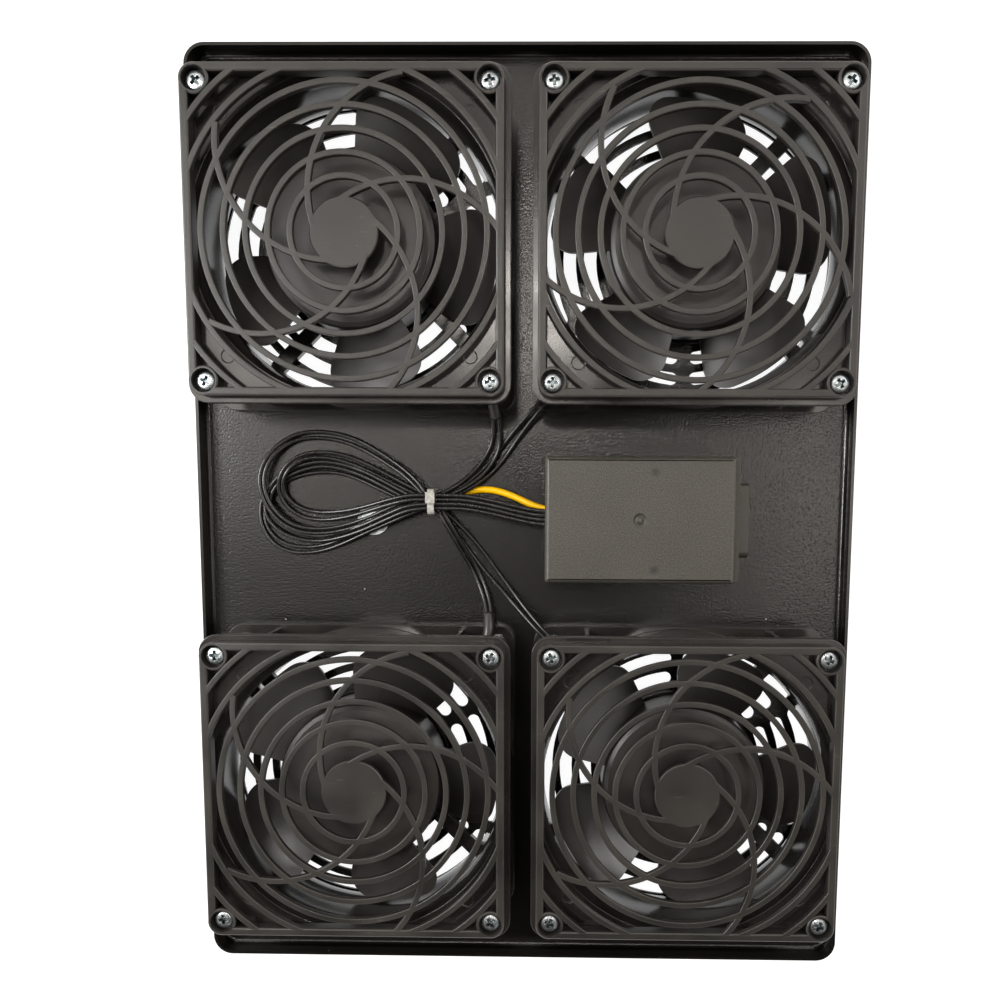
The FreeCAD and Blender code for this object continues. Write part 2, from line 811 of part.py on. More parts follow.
def spoke(index):
    """A spiral arm: one sector of a ring whose middle lies away from the fan's axis."""
    name = f"guard_spoke_{index + 1}"
    arm = ring(name, "spoke_arc", "ring_width", "ring_depth", "0")
    for side in (arm.Base, arm.Tool):
        bind(side, Angle="spoke_sweep")
    turn = number(f"spoke_start + {index} * 360 / spoke_count")
    away = Rotation(Vector(0, 0, 1), turn).multVec(Vector(number("spoke_offset"), 0, 0))
    away.z = number("fan_depth + guard_height - ring_depth")
    arm.Placement = Placement(away, Rotation(Vector(0, 0, 1), turn + number("spoke_lead")))
    return arm


def make_guard():
    """A moulded square grille: a rim, corner bosses, rings about the axis and spiral arms."""
    front = "fan_depth + guard_height - ring_depth"
    wires = [ring(f"guard_ring_{index + 1}", f"first_ring + {index} * ring_pitch", "ring_width",
                  "ring_depth", front) for index in range(GUARD_RINGS)]
    wires += [spoke(index) for index in range(number_of("spoke_count"))]
    wires.append(cylinder("guard_disc", "guard_disc / 2", "ring_depth", z=front))
    grille = fuse("guard_grille", wires)

    envelope = new_body("guard_envelope")
    field = new_sketch(envelope, "guard_field", lift="fan_depth")
    draw_rectangle(field, "-guard_half", "guard_half", "-guard_half", "guard_half")
    pad(envelope, field, "guard_height")
    round_edges(envelope, "boss_diameter / 2", is_upright, "guard_field_corners")
    trimmed = common("guard_grille_trimmed", [grille, envelope])

    rim = new_body("guard_rim_body")
    outline = new_sketch(rim, "rim_outline", lift="fan_depth")
    draw_rectangle(outline, "-guard_half", "guard_half", "-guard_half", "guard_half")
    pad(rim, outline, "guard_height")
    round_edges(rim, "boss_diameter / 2", is_upright, "rim_corners")
    inside = new_sketch(rim, "rim_inside", lift="fan_depth + guard_height + 1")
    inner_half = "(guard_half - guard_rim)"
    draw_rectangle(inside, f"-{inner_half}", inner_half, f"-{inner_half}", inner_half)
    pocket(rim, inside)
    bosses = new_sketch(rim, "rim_bosses", lift="fan_depth")
    for side_x, side_y in CORNERS:
        draw_circle(bosses, "boss_diameter / 2", *corner_place(side_x, side_y))
    pad(rim, bosses, "guard_height")

    whole = fuse("guard_whole", [rim, trimmed])
    recesses = []
    for index, (side_x, side_y) in enumerate(CORNERS):
        x, y = corner_place(side_x, side_y)
        recesses.append(cylinder(f"guard_recess_{index + 1}", "boss_bore / 2", "guard_height", x, y,
                                 "fan_depth + boss_floor"))
        recesses.append(cylinder(f"guard_hole_{index + 1}", "hole_diameter / 2", "guard_height", x, y,
                                 "fan_depth - 1"))
    return cut("finger_guard", whole, fuse("guard_recesses", recesses))


def number_of(alias):
    return int(round(number(alias)))


# ---------------------------------------------------------------------------------------------
# Fasteners
# ---------------------------------------------------------------------------------------------

def make_screw():
    """A pan-head screw from the guard's boss down through the front flange and its nut."""
    body = new_body("guard_screw_body")
    section = new_sketch(body, "screw_section", "XZ_Plane")
    seat = "fan_depth + boss_floor"
    tip = "fan_depth - flange_thickness - nut_height - thread_end"
    head = "screw_head_diameter / 2"
    draw_profile(section, [("0", tip), ("screw_diameter / 2", tip), ("screw_diameter / 2", seat),
                           (head, seat), (head, f"{seat} + screw_head_rim"),
                           ("screw_dome_width / 2", f"{seat} + screw_dome_rise"),
                           ("screw_crown_width / 2", f"{seat} + screw_head_height"),
                           ("0", f"{seat} + screw_head_height")])
    revolve(body, section)
    return body


def make_nut(name, flats, height, bore, z):
    return cut(name, hexagon(name + "_hexagon", flats, height, z),
               cylinder(name + "_thread", f"{bore} / 2", height, z=z))


def make_stud(name, diameter, flange, tip):
    """A clinch stud: a thin flange flush in the tray's outer face and a threaded stem."""
    stem = cylinder(name + "_stem", f"({diameter}) / 2", tip)
    base = cylinder(name + "_flange", f"({flange}) / 2", "stud_flange_height")
    return fuse(name, [stem, base])


def corner_copies(item, name, z):
    """A copy of a fastener at every corner of every fan."""
    copies = []
    for fan, side_across, side_along, *_ in FANS:
        across, along = fan_place(side_across, side_along)
        for index, (side_x, side_y) in enumerate(CORNERS):
            corner_x, corner_y = corner_place(side_x, side_y)
            copies.append(copy_of(item, f"{name}_{fan}_{index + 1}", f"{across} + {corner_x}",
                                  f"{along} + {corner_y}", z))
    return group(name, copies)


# ---------------------------------------------------------------------------------------------
# Control box
# ---------------------------------------------------------------------------------------------

BOX_SCREW_SIDES = (-1, 1)


def box_screw_place(side):
    """The box is held by two screws on a diagonal."""
    across = f"box_left + box_length / 2 + {side} * box_screw_across"
    along = f"box_along + {side} * box_screw_along"
    return across, along


def make_box_base():
    """An open moulded tub with screw bosses, a notch for the wires and a window for the inlet."""
    body = new_body("box_base_body")
    left, right = "box_left", "box_left + box_length"
    low, high = "box_along - box_width / 2", "box_along + box_width / 2"
    outline = new_sketch(body, "base_outline", lift="sheet_thickness")
    draw_rectangle(outline, left, right, low, high)
    pad(body, outline, "base_height")
    round_edges(body, "box_corner", is_upright, "base_corners")
    inside = new_sketch(body, "base_inside", lift="sheet_thickness + base_height")
    draw_rectangle(inside, "box_left + box_wall", "box_left + lid_length - box_wall",
                   "box_along - box_width / 2 + box_wall",
                   "box_along + box_width / 2 - box_wall")
    pocket(body, inside, "base_height - box_wall")
    bosses = new_sketch(body, "base_bosses", lift="sheet_thickness")
    for side in BOX_SCREW_SIDES:
        draw_circle(bosses, "box_boss_diameter / 2", *box_screw_place(side))
    pad(body, bosses, "box_screw_length + box_wall")
    cores = new_sketch(body, "base_screw_cores", lift="sheet_thickness")
    for side in BOX_SCREW_SIDES:
        draw_circle(cores, "box_screw_diameter / 2 + press_gap", *box_screw_place(side))
    pocket(body, cores, "box_screw_length + thread_end", upward=True)
    window = block("inlet_window", "box_length", "inlet_body_width", "inlet_body_height",
                   "box_left + box_length / 2", "box_along - inlet_body_width / 2",
                   "inlet_centre - inlet_body_height / 2")
    notch = block("wire_notch", "2 * box_wall", "wire_slot_width", "wire_slot_height",
                  "box_left - box_wall / 2", "wire_slot_along - wire_slot_width / 2", "wire_slot_bottom")
    return cut("box_base_whole", body, fuse("base_openings", [window, notch]))


def make_box_lid():
    """A shallow cap with bevelled edges and a lip that drops inside the tub."""
    body = new_body("box_lid_body")
    low, high = "box_along - box_width / 2", "box_along + box_width / 2"
    outline = new_sketch(body, "lid_outline", lift="sheet_thickness + base_height")
    draw_rectangle(outline, "box_left", "box_left + lid_length", low, high)
    pad(body, outline, "lid_height")
    round_edges(body, "box_corner", is_upright, "lid_corners")
    top = number("sheet_thickness + base_height + lid_height")
    bevel_edges(body, "lid_bevel", lambda edge: edge.BoundBox.ZMin > top - 1e-6, "lid_bevels")
    lip = new_sketch(body, "lid_lip", lift="sheet_thickness + base_height")
    inset = "(box_wall + lid_lip_gap)"
    draw_rectangle(lip, f"box_left + {inset}", f"box_left + lid_length - {inset}",
                   f"{low} + {inset}", f"{high} - {inset}")
    pad(body, lip, "lid_lip_depth", reverse=True)
    hollow = new_sketch(body, "lid_hollow", lift="sheet_thickness + base_height - lid_lip_depth")
    inset = "2 * box_wall"
    draw_rectangle(hollow, f"box_left + {inset}", f"box_left + lid_length - {inset}",
                   f"{low} + {inset}", f"{high} - {inset}")
    pocket(body, hollow, "lid_lip_depth + lid_height - box_wall", upward=True)
    gate = new_sketch(body, "lid_gate_mark", lift="sheet_thickness + base_height + lid_height")
    draw_circle(gate, "gate_mark_diameter / 2", "box_left + lid_length / 2", "box_along")
    draw_circle(gate, "gate_mark_diameter / 4", "box_left + lid_length / 2", "box_along")
    pocket(body, gate, "gate_mark_depth")
    return body


def make_inlet():
    """A panel inlet: flange, body behind it and a socket with two chamfered corners."""
    body = new_body("power_inlet_body")
    face = "box_left + box_length + inlet_flange_thickness"
    flange = new_sketch(body, "inlet_flange", "YZ_Plane", lift="box_left + box_length")
    draw_centred(flange, "inlet_flange_width", "inlet_flange_height")
    pad(body, flange, "inlet_flange_thickness")
    round_edges(body, "inlet_corner", runs_across, "inlet_flange_corners")
    housing = new_sketch(body, "inlet_housing", "YZ_Plane", lift="box_left + box_length")
    draw_centred(housing, "inlet_body_width - fit_gap", "inlet_body_height - fit_gap")
    pad(body, housing, "inlet_depth - inlet_flange_thickness", reverse=True)
    socket = new_sketch(body, "inlet_socket", "YZ_Plane", lift=face)
    side, top = "socket_width / 2", "inlet_centre + socket_height / 2"
    bottom = "inlet_centre - socket_height / 2"
    draw_profile(socket, [(f"box_along - {side}", bottom), (f"box_along + {side}", bottom),
                          (f"box_along + {side}", f"{top} - socket_chamfer"),
                          (f"box_along + {side} - socket_chamfer", top),
                          (f"box_along - {side} + socket_chamfer", top),
                          (f"box_along - {side}", f"{top} - socket_chamfer")])
    pocket(body, socket, "socket_depth")
    passages = [pin_block(index, "pin_passage", "0") for index in range(3)]
    return cut("power_inlet_whole", body, fuse("pin_passages", passages))


def draw_centred(sketch, width, height):
    """A rectangle about the inlet's centre line."""
    draw_rectangle(sketch, f"box_along - ({width}) / 2", f"box_along + ({width}) / 2",
                   f"inlet_centre - ({height}) / 2", f"inlet_centre + ({height}) / 2")


def runs_across(edge):
    """Whether an edge is straight and runs along X."""
    if not isinstance(edge.Curve, Part.Line):
        return False
    return abs(edge.Curve.Direction.x) > 0.999


PIN_PLACES = (("-pin_spread", "-earth_pin_offset / 2"), ("pin_spread", "-earth_pin_offset / 2"),
              ("0", "earth_pin_offset / 2"))


def pin_block(index, name, tail):
    """The room that one contact pin takes, from its tip back to its tail."""
    along, up = PIN_PLACES[index]
    tip = "box_left + box_length + inlet_flange_thickness - pin_recess"
    length = f"inlet_depth - pin_recess + ({tail})"
    return block(f"{name}_{index + 1}", length, "pin_width", "pin_height", f"{tip} - ({length})",
                 f"box_along + ({along}) - pin_width / 2",
                 f"inlet_centre + ({up}) - pin_height / 2")


def make_terminal_block():
    """A screw terminal strip on the tub's floor, with a row of wire mouths."""
    floor = "sheet_thickness + box_wall"
    strip = block("terminal_strip_blank", "terminal_width", "terminal_length", "terminal_height",
                  "terminal_left", "box_along - terminal_length / 2",
                  floor)
    mouths = []
    for index in range(4):
        along = f"box_along + ({index} - 1.5) * terminal_length / 4 - terminal_mouth / 2"
        mouths.append(block(f"terminal_mouth_{index + 1}", "terminal_width / 3", "terminal_mouth",
                            "terminal_mouth", "terminal_left", along,
                            f"{floor} + terminal_height / 3"))
    return cut("terminal_block_whole", strip, fuse("terminal_mouths", mouths))


def make_box_screw():
    """A flat-headed screw, flush in the tray's outer face, up into one of the tub's bosses."""
    stem = cylinder("box_screw_stem", "box_screw_diameter / 2", "sheet_thickness + box_screw_length")
    head = cylinder("box_screw_head", "box_screw_head / 2", "stud_flange_height")
    return fuse("box_screw", [stem, head])


def box_screw_copies(screw):
    return [copy_of(screw, f"box_screw_{index}", *box_screw_place(side))
            for index, side in enumerate(BOX_SCREW_SIDES, start=1)]


# ---------------------------------------------------------------------------------------------
# Wires: each route is a list of points, (X, Y, Z), with an arc at every point between its ends
# ---------------------------------------------------------------------------------------------

# Each fan's lead: the first steps from its sleeve's mouth, and then its points in the tray.
SLEEVE_STEPS = {
    "fan_1": [(0.0, 0.0, 0.0), (4.1, -5.2, 2.2), (7.3, -12.0, 2.5)],
    "fan_2": [(0.0, 0.0, 0.0), (-5.1, -4.4, 2.2), (-11.3, -9.8, 2.3)],
    "fan_3": [(0.0, 0.0, 0.0), (3.1, 5.6, 2.2), (5.3, 12.2, 2.5)],
    "fan_4": [(0.0, 0.0, 0.0), (-5.5, 4.8, 2.2), (-11.5, 11.0, 2.3)],
}
FAN_LEADS = {
    "fan_1": [(-11.6, 41.9, 9.0), (-12.2, 35.6, 5.8), (-14.2, 29.6, 4.8), (-18.0, 23.8, 5.8),
              (-22.6, 18.6, 7.6), (-26.8, 14.4, 8.4), (-30.7, 11.4, 8.4)],
    "fan_2": [(1.9, 44.0, 9.0), (-4.2, 36.4, 5.4), (-9.2, 29.4, 3.6), (-14.6, 22.2, 3.7),
              (-20.0, 16.2, 5.2), (-25.6, 12.7, 6.1), (-31.0, 10.9, 6.3)],
    "fan_3": [(-14.8, -38.8, 8.6), (-16.0, -32.2, 4.8), (-18.0, -25.2, 2.8), (-20.8, -17.6, 3.0),
              (-24.8, -10.8, 5.4), (-28.6, -4.8, 7.6), (-31.7, 0.2, 8.4), (-33.4, 3.85, 8.4)],
    "fan_4": [(2.2, -39.8, 8.6), (-3.8, -32.4, 4.8), (-9.6, -25.4, 2.8), (-15.6, -18.0, 2.4),
              (-21.4, -10.8, 3.0), (-26.6, -4.6, 4.5), (-31.0, 0.4, 5.8), (-33.4, 3.8, 6.3)],
}
BOX_LEAD = [(-31.6, 8.7), (-24.6, 8.7), (-15.0, 7.1), (-4.6, 4.6), (4.6, 2.7), (13.0, 2.5), (21.0, 2.3),
            (30.0, 2.3)]
BOX_LEAD_HEIGHTS = (10.35, 12.3)
EARTH_LEAD = [(30.0, 4.9, 7.4), (20.0, 4.9, 7.4), (11.0, 5.2, 7.2), (3.6, 7.2, 6.6),
              (-4.0, 10.9, 4.9), (-11.4, 13.4, 3.2), (-18.4, 13.9, 2.7), (-24.6, 12.6, 2.7),
              (-30.6, 10.4, 3.4), (-37.4, 8.8, 3.95), (-42.8, 8.0, 3.8), (-46.9, 6.77, 3.4),
              (-54.2, 4.26, 3.4)]


def route_path(points):
    """Straight runs joined by tangent arcs, each arc as large as its two runs allow."""
    corners = [Vector(*point) for point in points]
    edges = []
    radii = []
    start = corners[0]
    for before, corner, after in zip(corners, corners[1:], corners[2:]):
        inward = (corner - before).normalize()
        outward = (after - corner).normalize()
        turn = inward.getAngle(outward)
        reach = 0.45 * min((corner - before).Length, (after - corner).Length)
        radius = reach / math.tan(turn / 2)
        radii.append(radius)
        arc_start = corner - inward * reach
        arc_end = corner + outward * reach
        inside = (outward - inward).normalize()
        middle = corner + inside * (radius / math.cos(turn / 2) - radius)
        edges.append(Part.LineSegment(start, arc_start).toShape())
        edges.append(Part.Arc(arc_start, middle, arc_end).toShape())
        start = arc_end
    edges.append(Part.LineSegment(start, corners[-1]).toShape())
    return Part.Wire(edges), radii


def tube(points, diameter):
    """A round tube along a route."""
    path, radii = route_path(points)
    along = (Vector(*points[1]) - Vector(*points[0])).normalize()
    section = Part.Wire([Part.Circle(Vector(*points[0]), along, diameter / 2).toShape()])
    solid = path.makePipeShell([section], True, True)
    expected = math.pi * diameter ** 2 / 4 * path.Length
    if abs(solid.Volume / expected - 1) > 0.01:
        raise ValueError(f"A tube of {solid.Volume:.1f} mm3 should have {expected:.1f}")
    return solid, radii, path.Length


def beside(points, offset):
    """A route moved sideways, level with the first, by an offset to its left."""
    corners = [Vector(*point) for point in points]
    moved = []
    for index, corner in enumerate(corners):
        before = corners[max(index - 1, 0)]
        after = corners[min(index + 1, len(corners) - 1)]
        sides = []
        for start, end in ((before, corner), (corner, after)):
            run = end - start
            if run.Length > 1e-6:
                sides.append(Vector(-run.y, run.x, 0).normalize())
        middle = (sides[0] + sides[-1]).normalize()
        moved.append(tuple(corner + middle * (offset / middle.dot(sides[0]))))
    return moved


def wires(label, routes, diameter):
    """A sub-part of one or more tubes, each along its own route."""
    solids = []
    for route in routes:
        solid, radii, length = tube(route, diameter)
        solids.append(solid)
        print(f"{label}: {length:.1f} mm long, least radius {min(radii):.1f} mm")
    item = doc.addObject("Part::Feature", label)
    item.Shape = solids[0] if len(solids) == 1 else Part.Compound(solids)
    return part(item, label)


def laid(points, start=(0.0, 0.0, 0.0)):
    """A route's points in millimetres, from a start."""
    unit = number("route_unit")
    return [tuple(Vector(*start) + Vector(*point) * unit) for point in points]


def sleeve_mouth(side_across, side_along):
    """The outer end of a fan's lead sleeve, which points at the middle of the tray."""
    across, along = fan_place(side_across, side_along)
    reach = number("(sleeve_start + sleeve_length) / sqrt(2)")
    return (number(across) - side_across * reach, number(along) - side_along * reach,
            number("sheet_thickness + lead_hole_height"))


def make_fan_leads():
    pitch = number("wire_diameter + wire_gap")
    for fan, side_across, side_along, *_ in FANS:
        points = laid(SLEEVE_STEPS[fan], sleeve_mouth(side_across, side_along)) + laid(FAN_LEADS[fan])
        pair = [beside(points, -pitch / 2), beside(points, pitch / 2)]
        wires(f"{fan}_lead", pair, number("wire_diameter"))


def make_box_leads():
    pitch = number("wire_diameter + wire_gap")
    columns = number_of("bundle_columns")
    routes = []
    for height in BOX_LEAD_HEIGHTS:
        level = laid([(x, y, height) for x, y in BOX_LEAD])
        routes += [beside(level, (column - (columns - 1) / 2) * pitch) for column in range(columns)]
    wires("box_leads", routes, number("wire_diameter"))


def make_lead_hank():
    """The spare length of the leads, looped back through the tie: its outer shape."""
    body = new_body("lead_hank_body")
    loop = new_sketch(body, "hank_outline", lift="hank_bottom")
    draw_drop(loop, number("hank_outer_radius"), number("tie_across - tie_width"),
              number("bundle_width / 2"))
    draw_drop(loop, number("hank_inner_radius"), number("hank_across + hank_inner_reach"),
              number("hank_inner_tip"))
    pad(body, loop, "hank_height")
    neck = new_sketch(body, "hank_neck", "YZ_Plane", lift="tie_across - 2 * tie_width")
    draw_rectangle(neck, "tie_along - bundle_width / 2", "tie_along + bundle_width / 2",
                   "bundle_bottom", "bundle_bottom + bundle_height")
    pad(body, neck, "2 * tie_width + neck_end")
    around = cylinder("hank_stud_room", "hank_stud_room / 2", "hank_height + hank_bottom",
                      "earth_across", "earth_along")
    return cut("lead_hank_whole", body, around)


def draw_drop(sketch, radius, tip_x, tip_half):
    """A circle about the hank's middle drawn out to a blunt tip at the tie."""
    middle = Vector(number("hank_across"), number("hank_along"), 0)
    tip_y = number("tie_along")
    upper = Vector(tip_x, tip_y + tip_half, 0)
    lower = Vector(tip_x, tip_y - tip_half, 0)
    touch = []
    for tip, side in ((upper, 1), (lower, -1)):
        away = tip - middle
        spread = math.acos(radius / away.Length)
        angle = math.atan2(away.y, away.x) + side * spread
        touch.append(middle + Vector(radius * math.cos(angle), radius * math.sin(angle), 0))
    far = middle + Vector(-radius, 0, 0)
    for edge in (Part.LineSegment(lower, upper), Part.LineSegment(upper, touch[0]),
                 Part.Arc(touch[0], far, touch[1]), Part.LineSegment(touch[1], lower)):
        sketch.addGeometry(edge, False)


def make_tie():
    """A nylon tie round the bundle, with its ratchet head on top."""
    body = new_body("cable_tie_body")
    low = "tie_bottom"
    high = "bundle_bottom + bundle_height + tie_gap"
    side = "(bundle_width / 2 + tie_gap)"
    band = new_sketch(body, "tie_band", "YZ_Plane", lift="tie_across - tie_width / 2")
    draw_rectangle(band, f"tie_along - {side} - tie_thickness", f"tie_along + {side} + tie_thickness",
                   f"{low} - tie_thickness", f"{high} + tie_thickness")
    pad(body, band, "tie_width")
    round_edges(body, "tie_corner", runs_across, "tie_corners")
    inside = new_sketch(body, "tie_inside", "YZ_Plane", lift="tie_across + tie_width")
    draw_rectangle(inside, f"tie_along - {side}", f"tie_along + {side}", low, high)
    pocket(body, inside)
    head = new_sketch(body, "tie_head", "YZ_Plane", lift="tie_across - tie_head_length / 2")
    draw_rectangle(head, "tie_along + tie_head_shift - tie_head / 2",
                   "tie_along + tie_head_shift + tie_head / 2", high, f"{high} + tie_head_height")
    pad(body, head, "tie_head_length")
    return body


# ---------------------------------------------------------------------------------------------
# Earth point
# ---------------------------------------------------------------------------------------------

def make_earth_terminal():
    """A ring terminal: a flat ring, a tongue and a crimped barrel for the wire."""
    disc = cylinder("terminal_disc", "terminal_ring_diameter / 2", "terminal_sheet")
    tongue = block("terminal_tongue", "barrel_start + terminal_sheet", "barrel_diameter - terminal_sheet",
                   "terminal_sheet", "0", "-(barrel_diameter - terminal_sheet) / 2", "0")
    barrel = cylinder("terminal_barrel", "barrel_diameter / 2", "barrel_length", "barrel_start", "0",
                      "barrel_diameter / 2")
    bore = cylinder("terminal_barrel_bore", "earth_wire_diameter / 2 + press_gap",
                    "barrel_length", "barrel_start + terminal_sheet", "0", "barrel_diameter / 2")
    for item in (barrel, bore):
        item.Placement.Rotation = Rotation(Vector(0, 0, 1), Vector(1, 0, 0))
    hole = cylinder("terminal_hole", "earth_stud_diameter / 2 + fit_gap", "terminal_sheet")
    whole = fuse("terminal_blank", [disc, tongue, barrel])
    terminal = cut("earth_terminal_whole", whole, fuse("terminal_openings", [bore, hole]))
    terminal.Placement.Rotation = Rotation(Vector(0, 0, 1), number("terminal_turn"))
    bind(terminal, Placement__Base__x="earth_across", Placement__Base__y="earth_along",
         Placement__Base__z="sheet_thickness")
    return terminal


def make_earth_washer():
    z = "sheet_thickness + terminal_sheet"
    disc = cylinder("washer_disc", "earth_washer_diameter / 2", "earth_washer_thickness",
                    "earth_across", "earth_along", z)
    hole = cylinder("washer_hole", "earth_stud_diameter / 2 + fit_gap", "earth_washer_thickness",
                    "earth_across", "earth_along", z)
    return cut("earth_washer_whole", disc, hole)


# ---------------------------------------------------------------------------------------------
# Assemble, check and write
# ---------------------------------------------------------------------------------------------

def assemble_fans():
    """Four copies of each fan piece, each fan turned as it stands in the tray."""
    frame = finish_frame(make_fan_frame())
    turning = {"impeller": make_impeller(), "rotor_cup": make_rotor_cup(), "shaft": make_shaft()}
    standing = {"frame": frame, "bearings": make_bearings(), "stator": make_stator(),
                "lead_sleeve": make_sleeve()}
    guard = make_guard()
    for fan, side_across, side_along, frame_turn, guard_turn, rotor_turn in FANS:
        across, along = fan_place(side_across, side_along)
        for name, item in standing.items():
            copy = copy_of(item, f"{fan}_{name}", across, along, "sheet_thickness", frame_turn)
            part(copy, f"{fan}_{name}")
        for name, item in turning.items():
            copy = copy_of(item, f"{fan}_{name}", across, along, "sheet_thickness", rotor_turn)
            part(copy, f"{fan}_{name}")
        front = copy_of(guard, f"{fan}_guard", across, along, "sheet_thickness", guard_turn)
        part(front, f"{fan}_finger_guard")


def assemble_fasteners(stud):
    screw = make_screw()
    nut = make_nut("fan_nut", "nut_flats", "nut_height", "screw_diameter", "0")
    part(corner_copies(screw, "guard_screws", "sheet_thickness"), "guard_screws")
    part(corner_copies(nut, "guard_nuts", "sheet_thickness + fan_depth - flange_thickness - nut_height"),
         "guard_nuts")
    part(corner_copies(nut, "fan_nuts", "sheet_thickness + flange_thickness"), "fan_nuts")
    part(corner_copies(stud, "fan_studs", "0"), "fan_studs")


def assemble_box(screw):
    part(make_box_base(), "control_box_base")
    part(make_box_lid(), "control_box_lid")
    part(make_inlet(), "power_inlet")
    part(group("inlet_pin_set", [pin_block(index, "inlet_pin", "pin_tail") for index in range(3)]),
         "inlet_pins")
    part(make_terminal_block(), "terminal_strip")
    part(group("box_screw_pair", box_screw_copies(screw)), "control_box_screws")


EARTH_STACK = "sheet_thickness + terminal_sheet + earth_washer_thickness"


def assemble_earth_point(stud):
    nut = make_nut("earth_nut_blank", "earth_nut_flats", "earth_nut_height", "earth_stud_diameter",
                   EARTH_STACK)
    part(copy_of(stud, "earth_stud_placed", "earth_across", "earth_along"), "earth_stud")
    part(copy_of(nut, "earth_nut_placed", "earth_across", "earth_along"), "earth_nut")
    part(make_earth_washer(), "earth_washer")
    part(make_earth_terminal(), "earth_terminal")


def assemble_wires():
    make_fan_leads()
    make_box_leads()
    wires("earth_lead", [laid(EARTH_LEAD)], number("earth_wire_diameter"))
    part(make_lead_hank(), "lead_hank")
    part(make_tie(), "cable_tie")


def check_model():
    """Every object is up to date and every sub-part is a valid solid or group of solids."""
    for item in doc.Objects:
        if "Invalid" in item.State or "Error" in item.State:
            raise ValueError(f"{item.Name} failed: {item.State}")
    for item in PARTS:
        shape = Part.getShape(item)
        if shape.isNull() or not shape.isValid() or not shape.Solids:
            raise ValueError(f"{item.Label} has no valid solid")


def write_parts():
    os.makedirs("parts", exist_ok=True)
    for item in PARTS:
        Part.getShape(item).exportStep(f"parts/{item.Label}.step")
    print(f"{len(PARTS)} sub-parts written")


def main():
    fan_stud = make_stud("fan_stud", "screw_diameter", "stud_flange_diameter",
                         "sheet_thickness + flange_thickness + nut_height + thread_end")
    earth_stud = make_stud("earth_point_stud", "earth_stud_diameter", "earth_flange_diameter",
                           f"{EARTH_STACK} + earth_nut_height + thread_end")
    box_screw = make_box_screw()
    part(make_tray(fan_stud, earth_stud, box_screw), "tray_pan")
    assemble_fans()
    assemble_fasteners(fan_stud)
    assemble_box(box_screw)
    assemble_earth_point(earth_stud)
    assemble_wires()
    doc.recompute()
    check_model()
    write_parts()


main()
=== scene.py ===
"""Layout script for the rack fan tray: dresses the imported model, lays its wiring and lights it."""

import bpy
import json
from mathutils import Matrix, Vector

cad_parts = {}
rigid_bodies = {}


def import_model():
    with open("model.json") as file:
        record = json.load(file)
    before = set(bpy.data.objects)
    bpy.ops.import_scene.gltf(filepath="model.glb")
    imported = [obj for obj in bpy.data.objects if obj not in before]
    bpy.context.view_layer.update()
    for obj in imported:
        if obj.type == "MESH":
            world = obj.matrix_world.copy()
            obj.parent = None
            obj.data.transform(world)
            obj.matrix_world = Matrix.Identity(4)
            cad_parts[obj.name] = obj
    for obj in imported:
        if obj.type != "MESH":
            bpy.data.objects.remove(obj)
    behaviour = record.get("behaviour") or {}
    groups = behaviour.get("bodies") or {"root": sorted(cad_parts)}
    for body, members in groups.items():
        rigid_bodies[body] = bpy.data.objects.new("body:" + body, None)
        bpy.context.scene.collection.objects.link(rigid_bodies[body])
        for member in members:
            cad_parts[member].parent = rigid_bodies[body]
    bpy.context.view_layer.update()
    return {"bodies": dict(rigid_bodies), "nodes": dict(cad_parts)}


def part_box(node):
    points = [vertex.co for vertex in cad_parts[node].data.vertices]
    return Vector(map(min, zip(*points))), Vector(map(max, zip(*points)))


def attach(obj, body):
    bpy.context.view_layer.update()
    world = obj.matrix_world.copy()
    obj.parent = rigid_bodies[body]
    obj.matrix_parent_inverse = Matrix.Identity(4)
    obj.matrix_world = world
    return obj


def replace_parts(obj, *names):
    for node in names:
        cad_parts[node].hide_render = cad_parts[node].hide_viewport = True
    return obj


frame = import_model()

import json
import math

import bmesh
import bpy
from mathutils import Matrix, Vector

bl_info = {
    "name": "Rack fan tray",
    "version": (1, 0, 0),
    "blender": (4, 5, 0),
    "location": "3D View > Sidebar > Fan Tray",
    "description": "Dresses a rack fan tray: coats, mouldings, screws, wiring and stage",
    "category": "Object",
}

MM = 0.001
FANS = ("fan_1", "fan_2", "fan_3", "fan_4")
TRAY = "tray"


# --- Values ---

def linear(hex_colour):
    """An sRGB hex colour as linear red, green, blue and alpha."""
    parts = [int(hex_colour[i:i + 2], 16) / 255 for i in (1, 3, 5)]
    return tuple(p / 12.92 if p <= 0.04045 else ((p + 0.055) / 1.055) ** 2.4 for p in parts) + (1.0,)


def per_mm(size):
    """The scale at which a pattern's cells are that many millimetres across."""
    return 1000.0 / size


# --- Materials ---

def add_node(tree, kind, inputs=None, fields=None):
    """Adds a node with its fields and inputs; an input that is a socket is linked."""
    made = tree.nodes.new(kind)
    for name, value in (fields or {}).items():
        setattr(made, name, value)
    for key, value in (inputs or {}).items():
        if isinstance(value, bpy.types.NodeSocket):
            tree.links.new(value, made.inputs[key])
        else:
            made.inputs[key].default_value = value
    return made


def empty_tree(owner):
    """The node tree of a new material or world, with nothing in it."""
    owner.use_nodes = True
    owner.node_tree.nodes.clear()
    return owner.node_tree


def new_surface(name, colour, roughness, **sockets):
    """A material with one Principled shader; returns it, its tree, shader and object coordinates."""
    material = bpy.data.materials.new(name)
    tree = empty_tree(material)
    shader = add_node(tree, "ShaderNodeBsdfPrincipled",
                      {"Base Color": linear(colour), "Roughness": roughness, **sockets})
    add_node(tree, "ShaderNodeOutputMaterial", {"Surface": shader.outputs[0]})
    coords = add_node(tree, "ShaderNodeTexCoord").outputs["Object"]
    return material, tree, shader, coords


